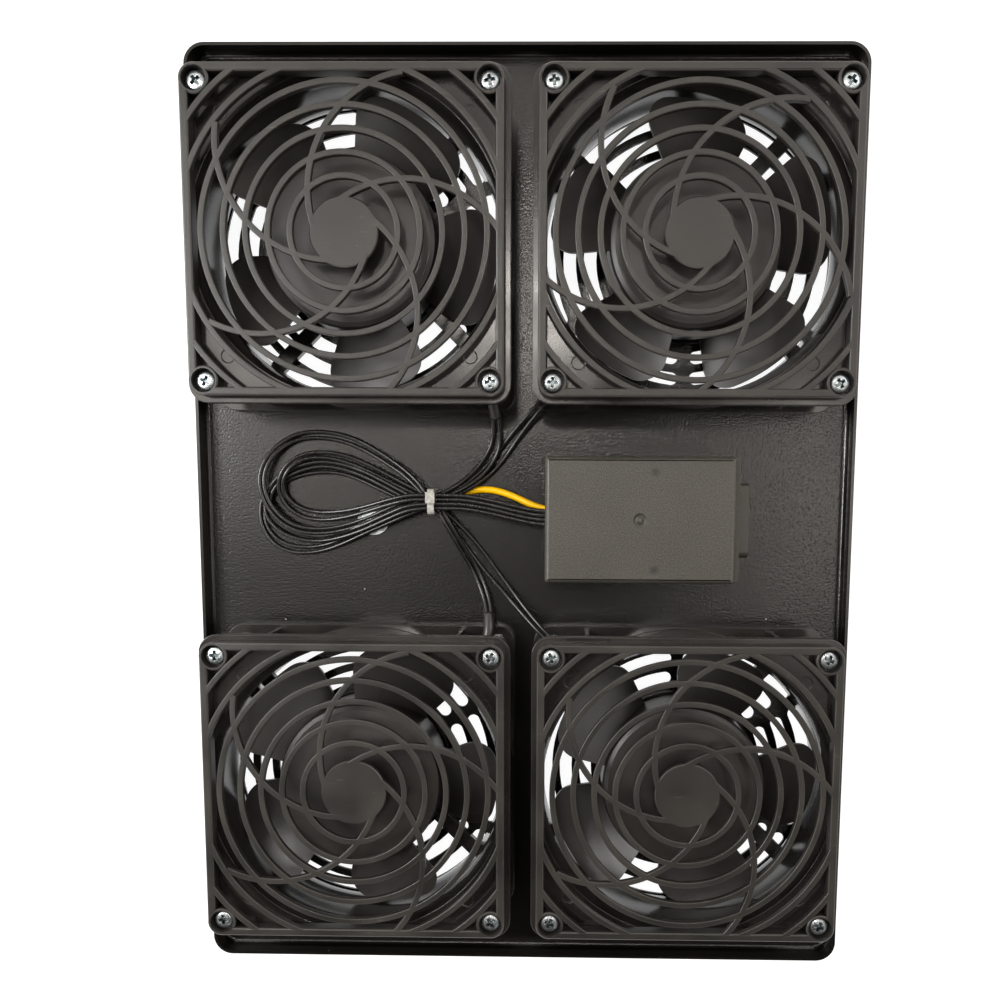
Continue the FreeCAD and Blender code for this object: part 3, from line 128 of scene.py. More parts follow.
def remap(tree, source, from_low, from_high, to_low=0.0, to_high=1.0):
    """A pattern's value, cut to one range and stretched over another."""
    return add_node(tree, "ShaderNodeMapRange",
                    {0: source, 1: from_low, 2: from_high, 3: to_low, 4: to_high}).outputs[0]


def blend(tree, share, first, second):
    """The first colour where the share is nothing, and the second where it is one."""
    return add_node(tree, "ShaderNodeMix", {0: share, 6: first, 7: second}, {"data_type": "RGBA"}).outputs[2]


def math_of(tree, operation, *values):
    """The result of one sum over up to three values."""
    return add_node(tree, "ShaderNodeMath", dict(enumerate(values)), {"operation": operation}).outputs[0]


def vector_math(tree, operation, *values):
    """The outputs of one sum over vectors."""
    return add_node(tree, "ShaderNodeVectorMath", dict(enumerate(values)), {"operation": operation}).outputs


def fading(tree, distance, inner, outer):
    """One up to an inner distance, falling smoothly to nothing at an outer one."""
    return add_node(tree, "ShaderNodeMapRange", {0: distance, 1: outer, 2: inner, 3: 0.0, 4: 1.0},
                    {"interpolation_type": "SMOOTHSTEP"}).outputs[0]


def noise(tree, place, scale, detail, **more):
    """A smooth random pattern over a place."""
    inputs = {"Vector": place, "Scale": scale, "Detail": detail, **more}
    return add_node(tree, "ShaderNodeTexNoise", inputs).outputs[0]


def cells(tree, coords, size, fields=None, **more):
    """How far the nearest of many scattered points is, where they are a size in millimetres apart."""
    inputs = {"Vector": coords, "Scale": per_mm(size), **more}
    return add_node(tree, "ShaderNodeTexVoronoi", inputs, fields).outputs["Distance"]


def near(tree, coords, place, reach):
    """One at a place in object space, in millimetres, falling smoothly to nothing at a reach from it."""
    away = vector_math(tree, "DISTANCE", coords, tuple(value * MM for value in place))
    return fading(tree, away["Value"], 0.0, reach * MM)


def finish_surface(tree, shader, patterns, height, depth_mm, strength):
    """Links a surface's patterns into its shader, and raises it by a height pattern."""
    relief = {"Height": height, "Distance": depth_mm * MM, "Strength": strength}
    bump = add_node(tree, "ShaderNodeBump", relief)
    for name, pattern in {**patterns, "Normal": bump.outputs[0]}.items():
        tree.links.new(pattern, shader.inputs[name])


# The coat's relief, in millimetres: its pebbles, its sway, its depth, and the heights between which it
# flattens out at the folds.
PEBBLE = 0.8
SWAY = 2.4
COAT_DEPTH = 0.05
FOLD = (2.0, 4.5)


def powder_coat():
    """Black polyester powder coat: glossy orange peel on the flat, smooth over the folds, with dust."""
    material, tree, shader, coords = new_surface("powder_coat_black", "#080706", 0.18)
    sway = noise(tree, coords, per_mm(SWAY), 1.0)
    away = cells(tree, coords, PEBBLE, {"feature": "SMOOTH_F1"}, Smoothness=0.25)
    dome = math_of(tree, "MULTIPLY", away, away)
    height = math_of(tree, "SUBTRACT", math_of(tree, "MULTIPLY", sway, 0.15), dome)
    level = add_node(tree, "ShaderNodeSeparateXYZ", {0: coords}).outputs[2]
    strength = remap(tree, level, FOLD[0] * MM, FOLD[1] * MM, 0.9, 0.12)
    clouds = noise(tree, coords, per_mm(60.0), 3.0)
    speck = remap(tree, cells(tree, coords, 15.0), 0.024, 0.012)
    shade = remap(tree, clouds, 0.3, 0.7)
    base = blend(tree, shade, linear("#070605"), linear("#0c0a09"))
    patterns = {"Base Color": blend(tree, speck, base, linear("#a89e8e")),
                "Roughness": remap(tree, clouds, 0.3, 0.7, 0.17, 0.23)}
    finish_surface(tree, shader, patterns, height, COAT_DEPTH, strength)
    return material


# Colours that all mouldings share: a painted glint on the texture's raised points, painted shade in sinks,
# rubs and dust.
PAINTED_GLINT = "#7f7a70"
SINK_SHADE = "#1c1917"
RUBBED = "#8d867c"
DUST = "#b9b0a2"
# How far a sink mark reaches, in millimetres, and how deep it is, in heights of the texture.
SINK_REACH = 2.6
SINK_DEPTH = 3.0


def moulded_polymer(name, dark, light, roughness, texture_mm, depth_mm, scuff, sinks=(), glint_share=0.0):
    """An injection-moulded thermoplastic: the tool's texture with painted glints on its points, flow shading,
    rubbed marks, and sinks with painted shade.
    """
    material, tree, shader, coords = new_surface(name, dark, roughness)
    flow = noise(tree, coords, per_mm(24.0), 4.0)
    tool = noise(tree, coords, per_mm(texture_mm), 2.0)
    stretch = {"Vector": coords, "Rotation": (0.2, 0.4, 0.9), "Scale": (1.0, 7.0, 3.0)}
    stretched = add_node(tree, "ShaderNodeMapping", stretch).outputs[0]
    rubs = noise(tree, stretched, per_mm(9.0), 6.0, Roughness=0.7)
    rub = remap(tree, rubs, 0.62, 0.78, 0.0, scuff)
    speck = remap(tree, cells(tree, coords, 7.0), 0.03, 0.016, 0.0, scuff)
    shade = remap(tree, flow, 0.35, 0.65)
    base = blend(tree, shade, linear(dark), linear(light))
    # Paints a lighter glint on the texture's raised points, where the tool's pattern is high.
    base = blend(tree, remap(tree, tool, 0.42, 0.68, 0.0, glint_share), base, linear(PAINTED_GLINT))
    height = tool
    for place in sinks:
        # Each sink mark is dented and painted darker with shade.
        sink = near(tree, coords, place, SINK_REACH)
        base = blend(tree, sink, base, linear(SINK_SHADE))
        height = math_of(tree, "MULTIPLY_ADD", sink, -SINK_DEPTH, height)
    base = blend(tree, rub, base, linear(RUBBED))
    patterns = {"Base Color": blend(tree, speck, base, linear(DUST)),
                "Roughness": remap(tree, flow, 0.3, 0.7, roughness - 0.05, roughness + 0.07)}
    finish_surface(tree, shader, patterns, height, depth_mm, 0.7)
    return material


def plated_metal(name, colour, roughness, stain):
    """Zinc, tin or bare metal: crystalline cloudiness, with shade painted as a dull darker colour in the
    pressed recesses.
    """
    material, tree, shader, coords = new_surface(name, colour, roughness, Metallic=1.0)
    spangle = cells(tree, coords, 0.9)
    cloud = noise(tree, coords, per_mm(2.2), 5.0)
    shade = remap(tree, cloud, 0.45, 0.7)
    base = blend(tree, shade, linear(colour), linear(stain))
    # The faces marked as the recess are painted darker as shade.
    recess_shade = add_node(tree, "ShaderNodeAttribute", fields={"attribute_name": "recess"}).outputs["Fac"]
    patterns = {"Base Color": blend(tree, recess_shade, base, linear("#7d8589")),
                "Roughness": remap(tree, spangle, 0.0, 0.8, roughness - 0.06, roughness + 0.08)}
    finish_surface(tree, shader, patterns, cloud, 0.04, 0.3)
    return material


# Where the earth wire's stripe runs round it and half how wide it is, in turns.
STRIPE = (0.62, 0.11)


def wire_insulation(name, colour, rub_colour, stripe=None):
    """Extruded soft PVC: glossy, slightly uneven, dulled where it has rubbed in packing."""
    material, tree, shader, coords = new_surface(name, colour, 0.3)
    rubs = noise(tree, coords, per_mm(4.0), 2.0, Roughness=0.4)
    rub = remap(tree, rubs, 0.66, 0.8, 0.0, 0.2)
    base = linear(colour)
    if stripe:
        along = add_node(tree, "ShaderNodeUVMap").outputs[0]
        around = add_node(tree, "ShaderNodeSeparateXYZ", {0: along}).outputs[1]
        base = blend(tree, math_of(tree, "COMPARE", around, *STRIPE), base, linear(stripe))
    patterns = {"Base Color": blend(tree, rub, base, linear(rub_colour)),
                "Roughness": remap(tree, rubs, 0.4, 0.75, 0.24, 0.34)}
    finish_surface(tree, shader, patterns, rubs, 0.04, 0.2)
    return material


def natural_nylon():
    """Unfilled nylon 6/6: milky and slightly see-through."""
    material, tree, shader, coords = new_surface("nylon_natural", "#bdbbb3", 0.34)
    shader.inputs["Subsurface Weight"].default_value = 0.5
    shader.inputs["Subsurface Radius"].default_value = (0.9 * MM, 0.8 * MM, 0.7 * MM)
    shader.inputs["Subsurface Scale"].default_value = 1.0
    haze = noise(tree, coords, per_mm(1.4), 3.0)
    shade = remap(tree, haze, 0.35, 0.65)
    base = blend(tree, shade, linear("#8f8d87"), linear("#aeaca5"))
    finish_surface(tree, shader, {"Base Color": base}, haze, 0.05, 0.3)
    return material


# Where the lid's inner posts pull its face in as it cools, in millimetres; shade is painted into each sink.
LID_SINKS = ((50.8, 20.3, 32.0), (50.8, -17.4, 32.0))
# Each moulding's plastic, two colours, roughness, its texture's size and depth in millimetres, how rubbed and
# dusty it is, its sink marks, which get painted shade, and how far the painted glints on its texture's points
# show.
MOULDINGS = {
    "frame": ("pbt_black", "#1c1a19", "#252321", 0.17, 0.7, 0.01, 0.10),
    "impeller": ("pbt_satin_black", "#22201e", "#2b2826", 0.36, 0.5, 0.02, 0.12),
    "guard": ("pp_dark_grey", "#191816", "#23211e", 0.36, 0.6, 0.02, 0.22),
    "box": ("abs_spark_texture", "#2a2823", "#302e28", 0.42, 0.5, 0.08, 0.10, (), 0.22),
    "lid": ("abs_spark_texture_lid", "#272521", "#2d2b26", 0.42, 0.5, 0.08, 0.10, LID_SINKS, 0.2),
    "inlet": ("pa_dark_grey", "#312d28", "#38342e", 0.36, 0.6, 0.02, 0.10),
    "sleeve": ("polyolefin_shrunk", "#1c1a19", "#2a2725", 0.34, 1.1, 0.12, 0.16),
}
# Each metal's name, colour, roughness and stain.
METALS = {
    "zinc": ("steel_zinc_plated", "#c3cacd", 0.27, "#9aa0a3"),
    "steel": ("steel_ground", "#9b9a97", 0.3, "#7c7b79"),
    "core": ("silicon_steel_laminated", "#57544f", 0.45, "#3c3a37"),
    "tin": ("brass_tinned", "#d6cfba", 0.25, "#b3ab93"),
}
# Each wire's name, colour, rubbed colour and stripe.
INSULATIONS = {
    "black_wire": ("pvc_black", "#161515", "#5c5a56"),
    "earth_wire": ("pvc_yellow_green", "#efb800", "#f0c63a", "#5c8a1e"),
}
MATERIALS = {}


def make_materials():
    """Every finish by its short name."""
    made = {"coat": powder_coat()}
    tables = {moulded_polymer: MOULDINGS, plated_metal: METALS, wire_insulation: INSULATIONS}
    for build, table in tables.items():
        made.update({name: build(*values) for name, values in table.items()})
    made["nylon"] = natural_nylon()
    return made


def material(name):
    """A finish by its short name; the finishes are made once."""
    if not MATERIALS:
        MATERIALS.update(make_materials())
    return MATERIALS[name]


def coat_nodes(name, *nodes):
    """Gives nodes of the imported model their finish."""
    for node in nodes:
        mesh = frame["nodes"][node].data
        mesh.materials.clear()
        mesh.materials.append(material(name))


def new_piece(name, mesh, finish):
    """A finished mesh as an object at the origin, riding on the tray."""
    mesh.name = name
    mesh.materials.clear()
    mesh.materials.append(material(finish))
    piece = plain_object(name, mesh)
    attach(piece, TRAY)
    return piece


# How near corners are merged, in metres, and the angles in degrees under which faces count as one, and above
# which edges are rounded or stay sharp.
MERGE = 0.004 * MM
LEVEL_ANGLE = 0.5
ROUNDED_ANGLE = 32
SHARP_ANGLE = 38


def softened(name, node, finish, radius, segments=2):
    """A moulding with its edges rounded, made from a merged copy of its node, which it replaces."""
    built = bmesh.new()
    built.from_mesh(frame["nodes"][node].data)
    bmesh.ops.remove_doubles(built, verts=built.verts, dist=MERGE)
    bmesh.ops.dissolve_limit(built, angle_limit=math.radians(LEVEL_ANGLE), verts=built.verts,
                             edges=built.edges)
    holder = plain_object(name + "_blank", mesh_from(built, name + "_blank"))
    for face in holder.data.polygons:
        face.use_smooth = True
    edge = holder.modifiers.new("edge", "BEVEL")
    edge.width = radius * MM
    edge.segments = segments
    edge.limit_method = "ANGLE"
    edge.angle_limit = math.radians(ROUNDED_ANGLE)
    edge.use_clamp_overlap = False
    weigh_normals(holder)
    piece = new_piece(name, applied(holder), finish)
    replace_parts(piece, node)
    return piece


def weigh_normals(holder):
    """Shades level faces flat beside small roundings."""
    normals = holder.modifiers.new("normals", "WEIGHTED_NORMAL")
    normals.keep_sharp = True


def flat_and_round(mesh):
    """The same mesh with level faces shaded flat, small roundings smooth and steep edges sharp."""
    mesh.shade_smooth()
    mesh.set_sharp_from_angle(angle=math.radians(SHARP_ANGLE))
    holder = plain_object("shading_blank", mesh)
    weigh_normals(holder)
    return applied(holder)


# --- Wiring ---

WIRE = 1.7
EARTH_WIRE = 2.8
TIE = (-37.5, 8.7)
COLUMN = 1.75

# Half the usual distance between a lead's two wires, in millimetres.
HALF = 0.9
# A lead's points are across, along and up, and half the distance between its wires where it isn't the usual.
# From each fan's sleeve to the tie.
FAN_ROUTES = {
    "fan_1": [
        (-19.8, 60.9, 9.1), (-15.8, 55.8, 11.3), (-12.6, 49.0, 11.6), (-11.4, 41.8, 9.0, 1.0),
        (-11.1, 35.6, 6.6, 1.4), (-12.6, 29.0, 5.6, 1.9), (-17.0, 22.4, 5.6, 1.9), (-22.4, 17.4, 7.0, 1.5),
        (-27.4, 14.0, 8.3, 1.1), (-31.6, 11.9, 8.4),
    ],
    "fan_2": [
        (19.8, 60.9, 9.1), (14.8, 56.6, 11.3), (8.6, 49.6, 11.0, 1.0), (1.4, 42.0, 8.2, 1.3),
        (-4.4, 35.0, 5.2, 1.6), (-9.4, 28.0, 3.8, 1.9), (-14.8, 21.8, 3.9, 1.8), (-20.8, 16.8, 5.0, 1.4),
        (-26.6, 13.0, 6.1, 1.0), (-31.6, 11.0, 6.35),
    ],
    "fan_3": [
        (-19.8, -58.1, 9.1), (-16.8, -52.6, 11.3), (-14.6, -46.0, 11.6), (-14.2, -39.4, 9.6),
        (-15.2, -32.4, 5.4, 1.0), (-18.0, -24.8, 3.0, 1.1), (-21.6, -17.4, 2.8, 1.1),
        (-25.3, -11.0, 4.8, 1.0), (-28.6, -5.0, 7.2), (-31.9, 0.6, 8.35), (-34.0, 4.9, 8.35, 0.875),
    ],
    "fan_4": [
        (19.8, -58.1, 9.1), (14.6, -52.4, 11.3), (9.0, -45.8, 11.0, 1.0), (1.4, -38.0, 7.4, 1.1),
        (-6.0, -29.4, 3.4, 1.5), (-13.6, -20.4, 2.3, 2.1), (-20.0, -12.0, 2.4, 2.3),
        (-25.7, -4.6, 3.8, 1.7), (-30.6, 1.2, 5.6, 1.1), (-34.0, 4.8, 6.35, 0.875),
    ],
}
# Each lead's spare length beyond the tie, out along the far side and back.
LOOPS = {
    "fan_1": [
        (-43.4, 15.4, 7.8), (-49.1, 20.6, 6.4, 0.95), (-55.9, 25.1, 5.0, 1.1), (-63.7, 29.9, 3.8, 1.2),
        (-71.5, 33.5, 3.0, 1.25), (-79.8, 35.5, 2.6, 1.25), (-88.0, 35.8, 2.6, 1.2),
        (-94.8, 34.4, 3.0, 1.1), (-100.3, 31.0, 4.2, 0.95), (-104.4, 26.7, 5.6), (-106.9, 21.9, 6.2),
        (-107.9, 16.5, 6.2), (-107.0, 10.5, 6.0), (-104.1, 4.9, 5.8, 0.95), (-99.9, 0.6, 5.7, 1.0),
        (-94.8, -2.3, 5.7, 1.0), (-88.1, -3.7, 5.8, 0.95), (-79.7, -3.4, 6.2), (-71.3, -1.5, 7.0),
        (-62.8, 1.5, 8.2), (-55.4, 4.8, 9.4), (-47.7, 8.0, 10.2),
    ],
    "fan_2": [
        (-44.1, 12.4, 6.2), (-50.8, 15.6, 5.6, 0.95), (-58.0, 19.3, 5.0, 1.1), (-66.2, 23.4, 4.6, 1.2),
        (-74.4, 26.4, 4.4, 1.2), (-82.0, 27.6, 4.6, 1.1), (-89.1, 27.2, 5.2, 1.0), (-94.6, 24.7, 5.8, 0.95),
        (-98.3, 20.9, 6.0), (-100.2, 16.6, 5.4), (-100.4, 11.8, 4.2, 1.0), (-98.0, 7.7, 3.4, 1.3),
        (-93.5, 4.4, 3.2, 1.6), (-87.5, 2.6, 3.4, 1.6), (-80.0, 2.5, 4.4, 1.5), (-71.3, 3.8, 6.4, 1.2),
        (-62.7, 6.1, 8.6, 1.0), (-54.1, 8.7, 10.8), (-46.3, 10.4, 12.0),
    ],
    "fan_3": [
        (-43.6, 8.6, 8.2), (-50.4, 12.0, 7.2), (-58.2, 16.2, 6.2), (-66.0, 20.0, 5.0), (-74.4, 22.8, 4.1),
        (-82.8, 24.0, 3.9, 0.95), (-90.2, 22.8, 3.9, 1.0), (-96.4, 20.4, 3.9, 1.0),
        (-101.6, 17.2, 3.9, 0.95), (-105.0, 12.8, 3.9), (-106.7, 7.2, 3.9), (-105.6, 1.9, 3.9, 1.1),
        (-101.6, -2.4, 3.9, 1.2), (-95.8, -5.3, 3.9, 1.2), (-88.6, -6.8, 4.0, 1.1), (-81.2, -6.5, 4.8, 1.0),
        (-73.0, -4.5, 6.4, 0.95), (-64.9, -1.6, 8.2), (-56.3, 2.3, 10.2), (-47.4, 6.1, 12.0),
    ],
    "fan_4": [
        (-43.6, 7.6, 6.2), (-50.2, 10.4, 5.4), (-57.8, 13.8, 4.4), (-65.3, 17.4, 3.2), (-72.9, 20.4, 2.3),
        (-80.2, 21.6, 2.1, 0.95), (-87.4, 21.3, 2.1, 1.0), (-94.2, 19.8, 2.1, 1.0),
        (-100.2, 17.2, 2.1, 0.95), (-105.2, 13.4, 2.1), (-108.3, 8.8, 2.1), (-109.0, 3.6, 2.1),
        (-108.4, -1.4, 2.1, 0.95), (-105.8, -6.3, 2.1, 1.1), (-101.4, -9.8, 2.1, 1.3),
        (-95.5, -11.5, 2.1, 1.3), (-89.2, -11.6, 2.3, 1.15), (-82.2, -10.4, 3.0, 1.0), (-74.0, -7.3, 4.6),
        (-65.3, -3.2, 6.6), (-56.6, 0.4, 8.6), (-47.7, 4.2, 10.0),
    ],
}
# Each lead's place in the tie, along and up, going out and coming back.
TIE_PLACES = {
    "fan_1": (COLUMN, 8.35, COLUMN, 10.35),
    "fan_2": (COLUMN, 6.35, COLUMN, 12.25),
    "fan_3": (-COLUMN, 8.35, -COLUMN, 12.25),
    "fan_4": (-COLUMN, 6.35, -COLUMN, 10.35),
}
# The way from the tie to the box, across and along, and the earth lead's own way.
BOX_ROUTE = [
    (-31.6, 8.7), (-24.6, 8.7), (-15.0, 7.1), (-4.6, 4.6), (4.6, 2.7), (13.0, 2.5), (24.0, 2.3),
]
EARTH_ROUTE = [
    (30.0, 4.9, 7.4), (20.0, 4.9, 7.4), (11.0, 5.2, 7.2), (3.6, 7.2, 6.6), (-4.0, 10.9, 4.9),
    (-11.4, 13.4, 3.2), (-18.4, 13.9, 2.7), (-24.6, 12.6, 2.7), (-30.6, 10.4, 3.4), (-37.4, 8.8, 3.95),
    (-42.8, 8.0, 3.8), (-46.9, 6.77, 3.4), (-54.2, 4.26, 3.4),
]
# How far the shrunk sleeves of two fans' leads reach, and a sleeve's outer and inner radius, in millimetres.
BOOTS = {"fan_1": 22.0, "fan_3": 24.0}
BOOT_RADII = (2.2, 1.8)
BOOT_STEPS = 24
# How far a lead's points stand from the tie's middle on each side, in millimetres.
TIE_REACH = 2.5


def shifted(points, side):
    """One wire of a pair: its route moved level to the left (side 1) or right (side -1) of the lead's."""
    moved = []
    for index, (x, y, z, *given) in enumerate(points):
        half = given[0] if given else HALF
        before = Vector(points[max(index - 1, 0)][:3])
        after = Vector(points[min(index + 1, len(points) - 1)][:3])
        run = after - before
        moved.append(Vector((x, y, z)) + Vector((-run.y, run.x, 0)).normalized() * half * side)
    return moved


def spline_curve(name, points, diameter, finish):
    """A round wire on one open smooth spline whose control points are the route's."""
    curve = bpy.data.curves.new(name, "CURVE")
    curve.dimensions = "3D"
    curve.bevel_depth = diameter / 2 * MM
    curve.bevel_resolution = 4
    curve.use_fill_caps = True
    curve.resolution_u = 8
    spline = curve.splines.new("NURBS")
    spline.points.add(len(points) - 1)
    for place, point in zip(spline.points, points):
        place.co = (*(value * MM for value in point), 1.0)
    spline.order_u = 3
    spline.use_endpoint_u = True
    curve.materials.append(material(finish))
    return plain_object(name, curve)


def lead_points(fan, side):
    """One wire of a fan's pair: to the tie, round its loop, through the tie again and to the box."""
    column_out, height_out, column_back, height_back = TIE_PLACES[fan]
    across, along = TIE
    half = COLUMN / 2
    out = shifted(FAN_ROUTES[fan], side)
    out_y = along + column_out - side * half
    passing = [Vector((across + step, out_y, height_out)) for step in (TIE_REACH, -TIE_REACH)]
    loop = shifted(LOOPS[fan], side)
    back_y = along + column_back + side * half
    back = [Vector((across + step, back_y, height_back)) for step in (-TIE_REACH, TIE_REACH)]
    box = [Vector((x, y + back_y - along, height_back)) for x, y in BOX_ROUTE]
    return out + passing + loop + back + box


def read_line(points):
    """The points of a route's own smooth spline, read from a curve with no bevel, in metres."""
    guide = spline_curve("guide", points, 0.0, "sleeve")
    line = bpy.data.meshes.new_from_object(guide)
    bpy.data.objects.remove(guide)
    return [vertex.co.copy() for vertex in line.vertices]


def boot(fan):
    """A sleeve shrunk over a fan's pair of leads from the duct on, open at its end."""
    line = read_line([point[:3] for point in FAN_ROUTES[fan]])
    gone = 0.0
    places = [line[0]]
    for before, after in zip(line, line[1:]):
        gone += (after - before).length
        if gone < BOOTS[fan] * MM:
            places.append(after)
    mesh = bmesh.new()
    rings = []
    for index, place in enumerate(places):
        run = (places[min(index + 1, len(places) - 1)] - places[max(index - 1, 0)]).normalized()
        across = run.cross(Vector((0, 0, 1))).normalized()
        rise = across.cross(run)
        turns = [math.tau * step / BOOT_STEPS for step in range(BOOT_STEPS)]
        aims = [across * math.cos(turn) + rise * math.sin(turn) for turn in turns]
        rings.append([[mesh.verts.new(place + aim * radius * MM) for aim in aims] for radius in BOOT_RADII])
    outer = [ring[0] for ring in rings]
    inner = [ring[1] for ring in rings]
    bands = [(outer, False), (inner, True), (rings[-1], True), (rings[0], False)]
    for band, turned in bands:
        for first, second in zip(band, band[1:]):
            for step in range(BOOT_STEPS):
                after = (step + 1) % BOOT_STEPS
                corners = [first[step], first[after], second[after], second[step]]
                mesh.faces.new(corners[::-1] if turned else corners)
    bmesh.ops.recalc_face_normals(mesh, faces=mesh.faces)
    piece = new_piece(f"{fan}_boot", mesh_from(mesh, f"{fan}_boot"), "sleeve")
    for face in piece.data.polygons:
        face.use_smooth = True
    return piece


# --- Screws ---

def revolve_profile(profile, steps):
    """A closed mesh turned about Z from (radius, height) pairs that start and end on the axis."""
    mesh = bmesh.new()
    rings = []
    for radius, height in profile:
        if radius < 1e-9:
            rings.append([mesh.verts.new((0, 0, height * MM))])
        else:
            turns = [math.tau * i / steps for i in range(steps)]
            rings.append([mesh.verts.new((radius * MM * math.cos(turn), radius * MM * math.sin(turn),
                                          height * MM)) for turn in turns])
    for low, high in zip(rings, rings[1:]):
        for i in range(steps):
            j = (i + 1) % steps
            corners = [low[i % len(low)], low[j % len(low)], high[j % len(high)], high[i % len(high)]]
            mesh.faces.new(list(dict.fromkeys(corners)))
    bmesh.ops.recalc_face_normals(mesh, faces=mesh.faces)
    return mesh


# A screw's domed head, in shares of its radius and height.
DOME = ((1, 0.5), (0.985, 0.66), (0.93, 0.8), (0.82, 0.9), (0.6, 0.965), (0.3, 0.995), (0, 1))
# The cross recess, in millimetres: its arms' width, its depth, and the profile of its middle, in radii and
# heights from the head's top. Its arms reach this share of the head's radius.
ARM_WIDTH = 1.3
ARM_DEPTH = 2.0
ARM_REACH = 0.62
CORE = ((0, -1.7), (0.5, -1.7), (1.15, 0.5), (0, 0.5))


def cross_cutter(reach, width, depth, top):
    """A tapered four-armed cutter, the shape of a cross-head driver's tip."""
    mesh = bmesh.new()
    for turn in (0, math.pi / 2):
        made = bmesh.ops.create_cube(mesh, size=1.0)["verts"]
        for vertex in made:
            lower = vertex.co.z < 0
            vertex.co.x *= 2 * reach * MM * (0.45 if lower else 1.0)
            vertex.co.y *= width * MM * (0.75 if lower else 1.0)
            vertex.co.z = (top - depth if lower else top + 0.6) * MM
        bmesh.ops.rotate(mesh, verts=made, cent=(0, 0, 0), matrix=Matrix.Rotation(turn, 3, "Z"))
    return mesh


def mesh_from(built, name):
    """A mesh from a built one, which is freed."""
    mesh = bpy.data.meshes.new(name)
    built.to_mesh(mesh)
    built.free()
    return mesh


def plain_object(name, data):
    """An object at the origin with the data it is given."""
    piece = bpy.data.objects.new(name, data)
    bpy.context.scene.collection.objects.link(piece)
    return piece


def applied(piece):
    """The piece's evaluated mesh, with the piece itself removed."""
    bpy.context.view_layer.update()
    mesh = bpy.data.meshes.new_from_object(piece.evaluated_get(bpy.context.evaluated_depsgraph_get()))
    bpy.data.objects.remove(piece)
    return mesh


def screw_master(head, height, diameter, length):
    """A pan-head screw with a cross recess; the head's seat is at zero."""
    radius = head / 2
    thread = diameter / 2
    profile = [(0, -length), (thread - 0.3, -length), (thread, -length + 0.4), (thread, 0),
               (radius - 0.15, 0), (radius, 0.15), *((radius * out, height * up) for out, up in DOME)]
    solid = plain_object("screw_solid", mesh_from(revolve_profile(profile, 40), "screw_solid"))
    arms = cross_cutter(radius * ARM_REACH, ARM_WIDTH, ARM_DEPTH, height)
    cutter = plain_object("screw_cutter", mesh_from(arms, "screw_cutter"))
    middle = revolve_profile([(reach, height + rise) for reach, rise in CORE], 16)
    core = plain_object("screw_core", mesh_from(middle, "screw_core"))
    for piece, other, operation in ((cutter, core, "UNION"), (solid, cutter, "DIFFERENCE")):
        step = piece.modifiers.new("step", "BOOLEAN")
        step.object = other
        step.operation = operation
        step.solver = "EXACT"
        step.use_self = True
    edge = solid.modifiers.new("edge", "BEVEL")
    edge.width = 0.08 * MM
    edge.segments = 2
    edge.limit_method = "ANGLE"
    mesh = applied(solid)
    bpy.data.objects.remove(cutter)
    bpy.data.objects.remove(core)
    mesh = flat_and_round(mesh)
    # Marks the faces of the cross recess, where the metal finish paints shade.
    recess = mesh.attributes.new("recess", "FLOAT", "FACE")
    for face in mesh.polygons:
        inside = face.center.xy.length < radius * 0.64 * MM and 0 < face.center.z < height * 0.92 * MM
        recess.data[face.index].value = 1.0 if inside else 0.0
    return mesh


def scatter_tree(name, master, finish):
    """A node tree that sets a master piece on every point, each turned at random."""
    tree = bpy.data.node_groups.new(name, "GeometryNodeTree")
    for side, label, kind in (("INPUT", "Geometry", "Geometry"), ("INPUT", "Most Turn", "Float"),
                              ("INPUT", "Seed", "Int"), ("OUTPUT", "Geometry", "Geometry")):
        tree.interface.new_socket(label, in_out=side, socket_type="NodeSocket" + kind)
    given = add_node(tree, "NodeGroupInput")
    source = add_node(tree, "GeometryNodeObjectInfo", {"Object": master})
    turn = add_node(tree, "FunctionNodeRandomValue",
                    {2: 0.0, 3: given.outputs["Most Turn"], "Seed": given.outputs["Seed"]},
                    {"data_type": "FLOAT"})
    about = add_node(tree, "ShaderNodeCombineXYZ", {2: turn.outputs[1]})
    placed = add_node(tree, "GeometryNodeInstanceOnPoints",
                      {"Points": given.outputs["Geometry"], "Instance": source.outputs["Geometry"],
                              "Rotation": about.outputs[0]})
    real = add_node(tree, "GeometryNodeRealizeInstances", {"Geometry": placed.outputs[0]})
    coated = add_node(tree, "GeometryNodeSetMaterial",
                      {"Geometry": real.outputs[0], "Material": material(finish)})
    add_node(tree, "NodeGroupOutput", {"Geometry": coated.outputs[0]})
    return tree


def scattered(name, points, master_mesh, finish, seed):
    """One mesh of copies of a master at the points, made by Geometry Nodes."""
    master = plain_object(name + "_master", master_mesh)
    cloud = bpy.data.meshes.new(name)
    cloud.from_pydata([tuple(value * MM for value in point) for point in points], [], [])
    holder = plain_object(name + "_points", cloud)
    tree = scatter_tree(name + "_tree", master, finish)
    copier = holder.modifiers.new("copies", "NODES")
    copier.node_group = tree
    settings = {"Most Turn": math.pi / 2, "Seed": seed}
    for item in tree.interface.items_tree:
        if item.name in settings:
            copier[item.identifier] = settings[item.name]
    mesh = applied(holder)
    bpy.data.objects.remove(master)
    return mesh


# --- Finger guards ---

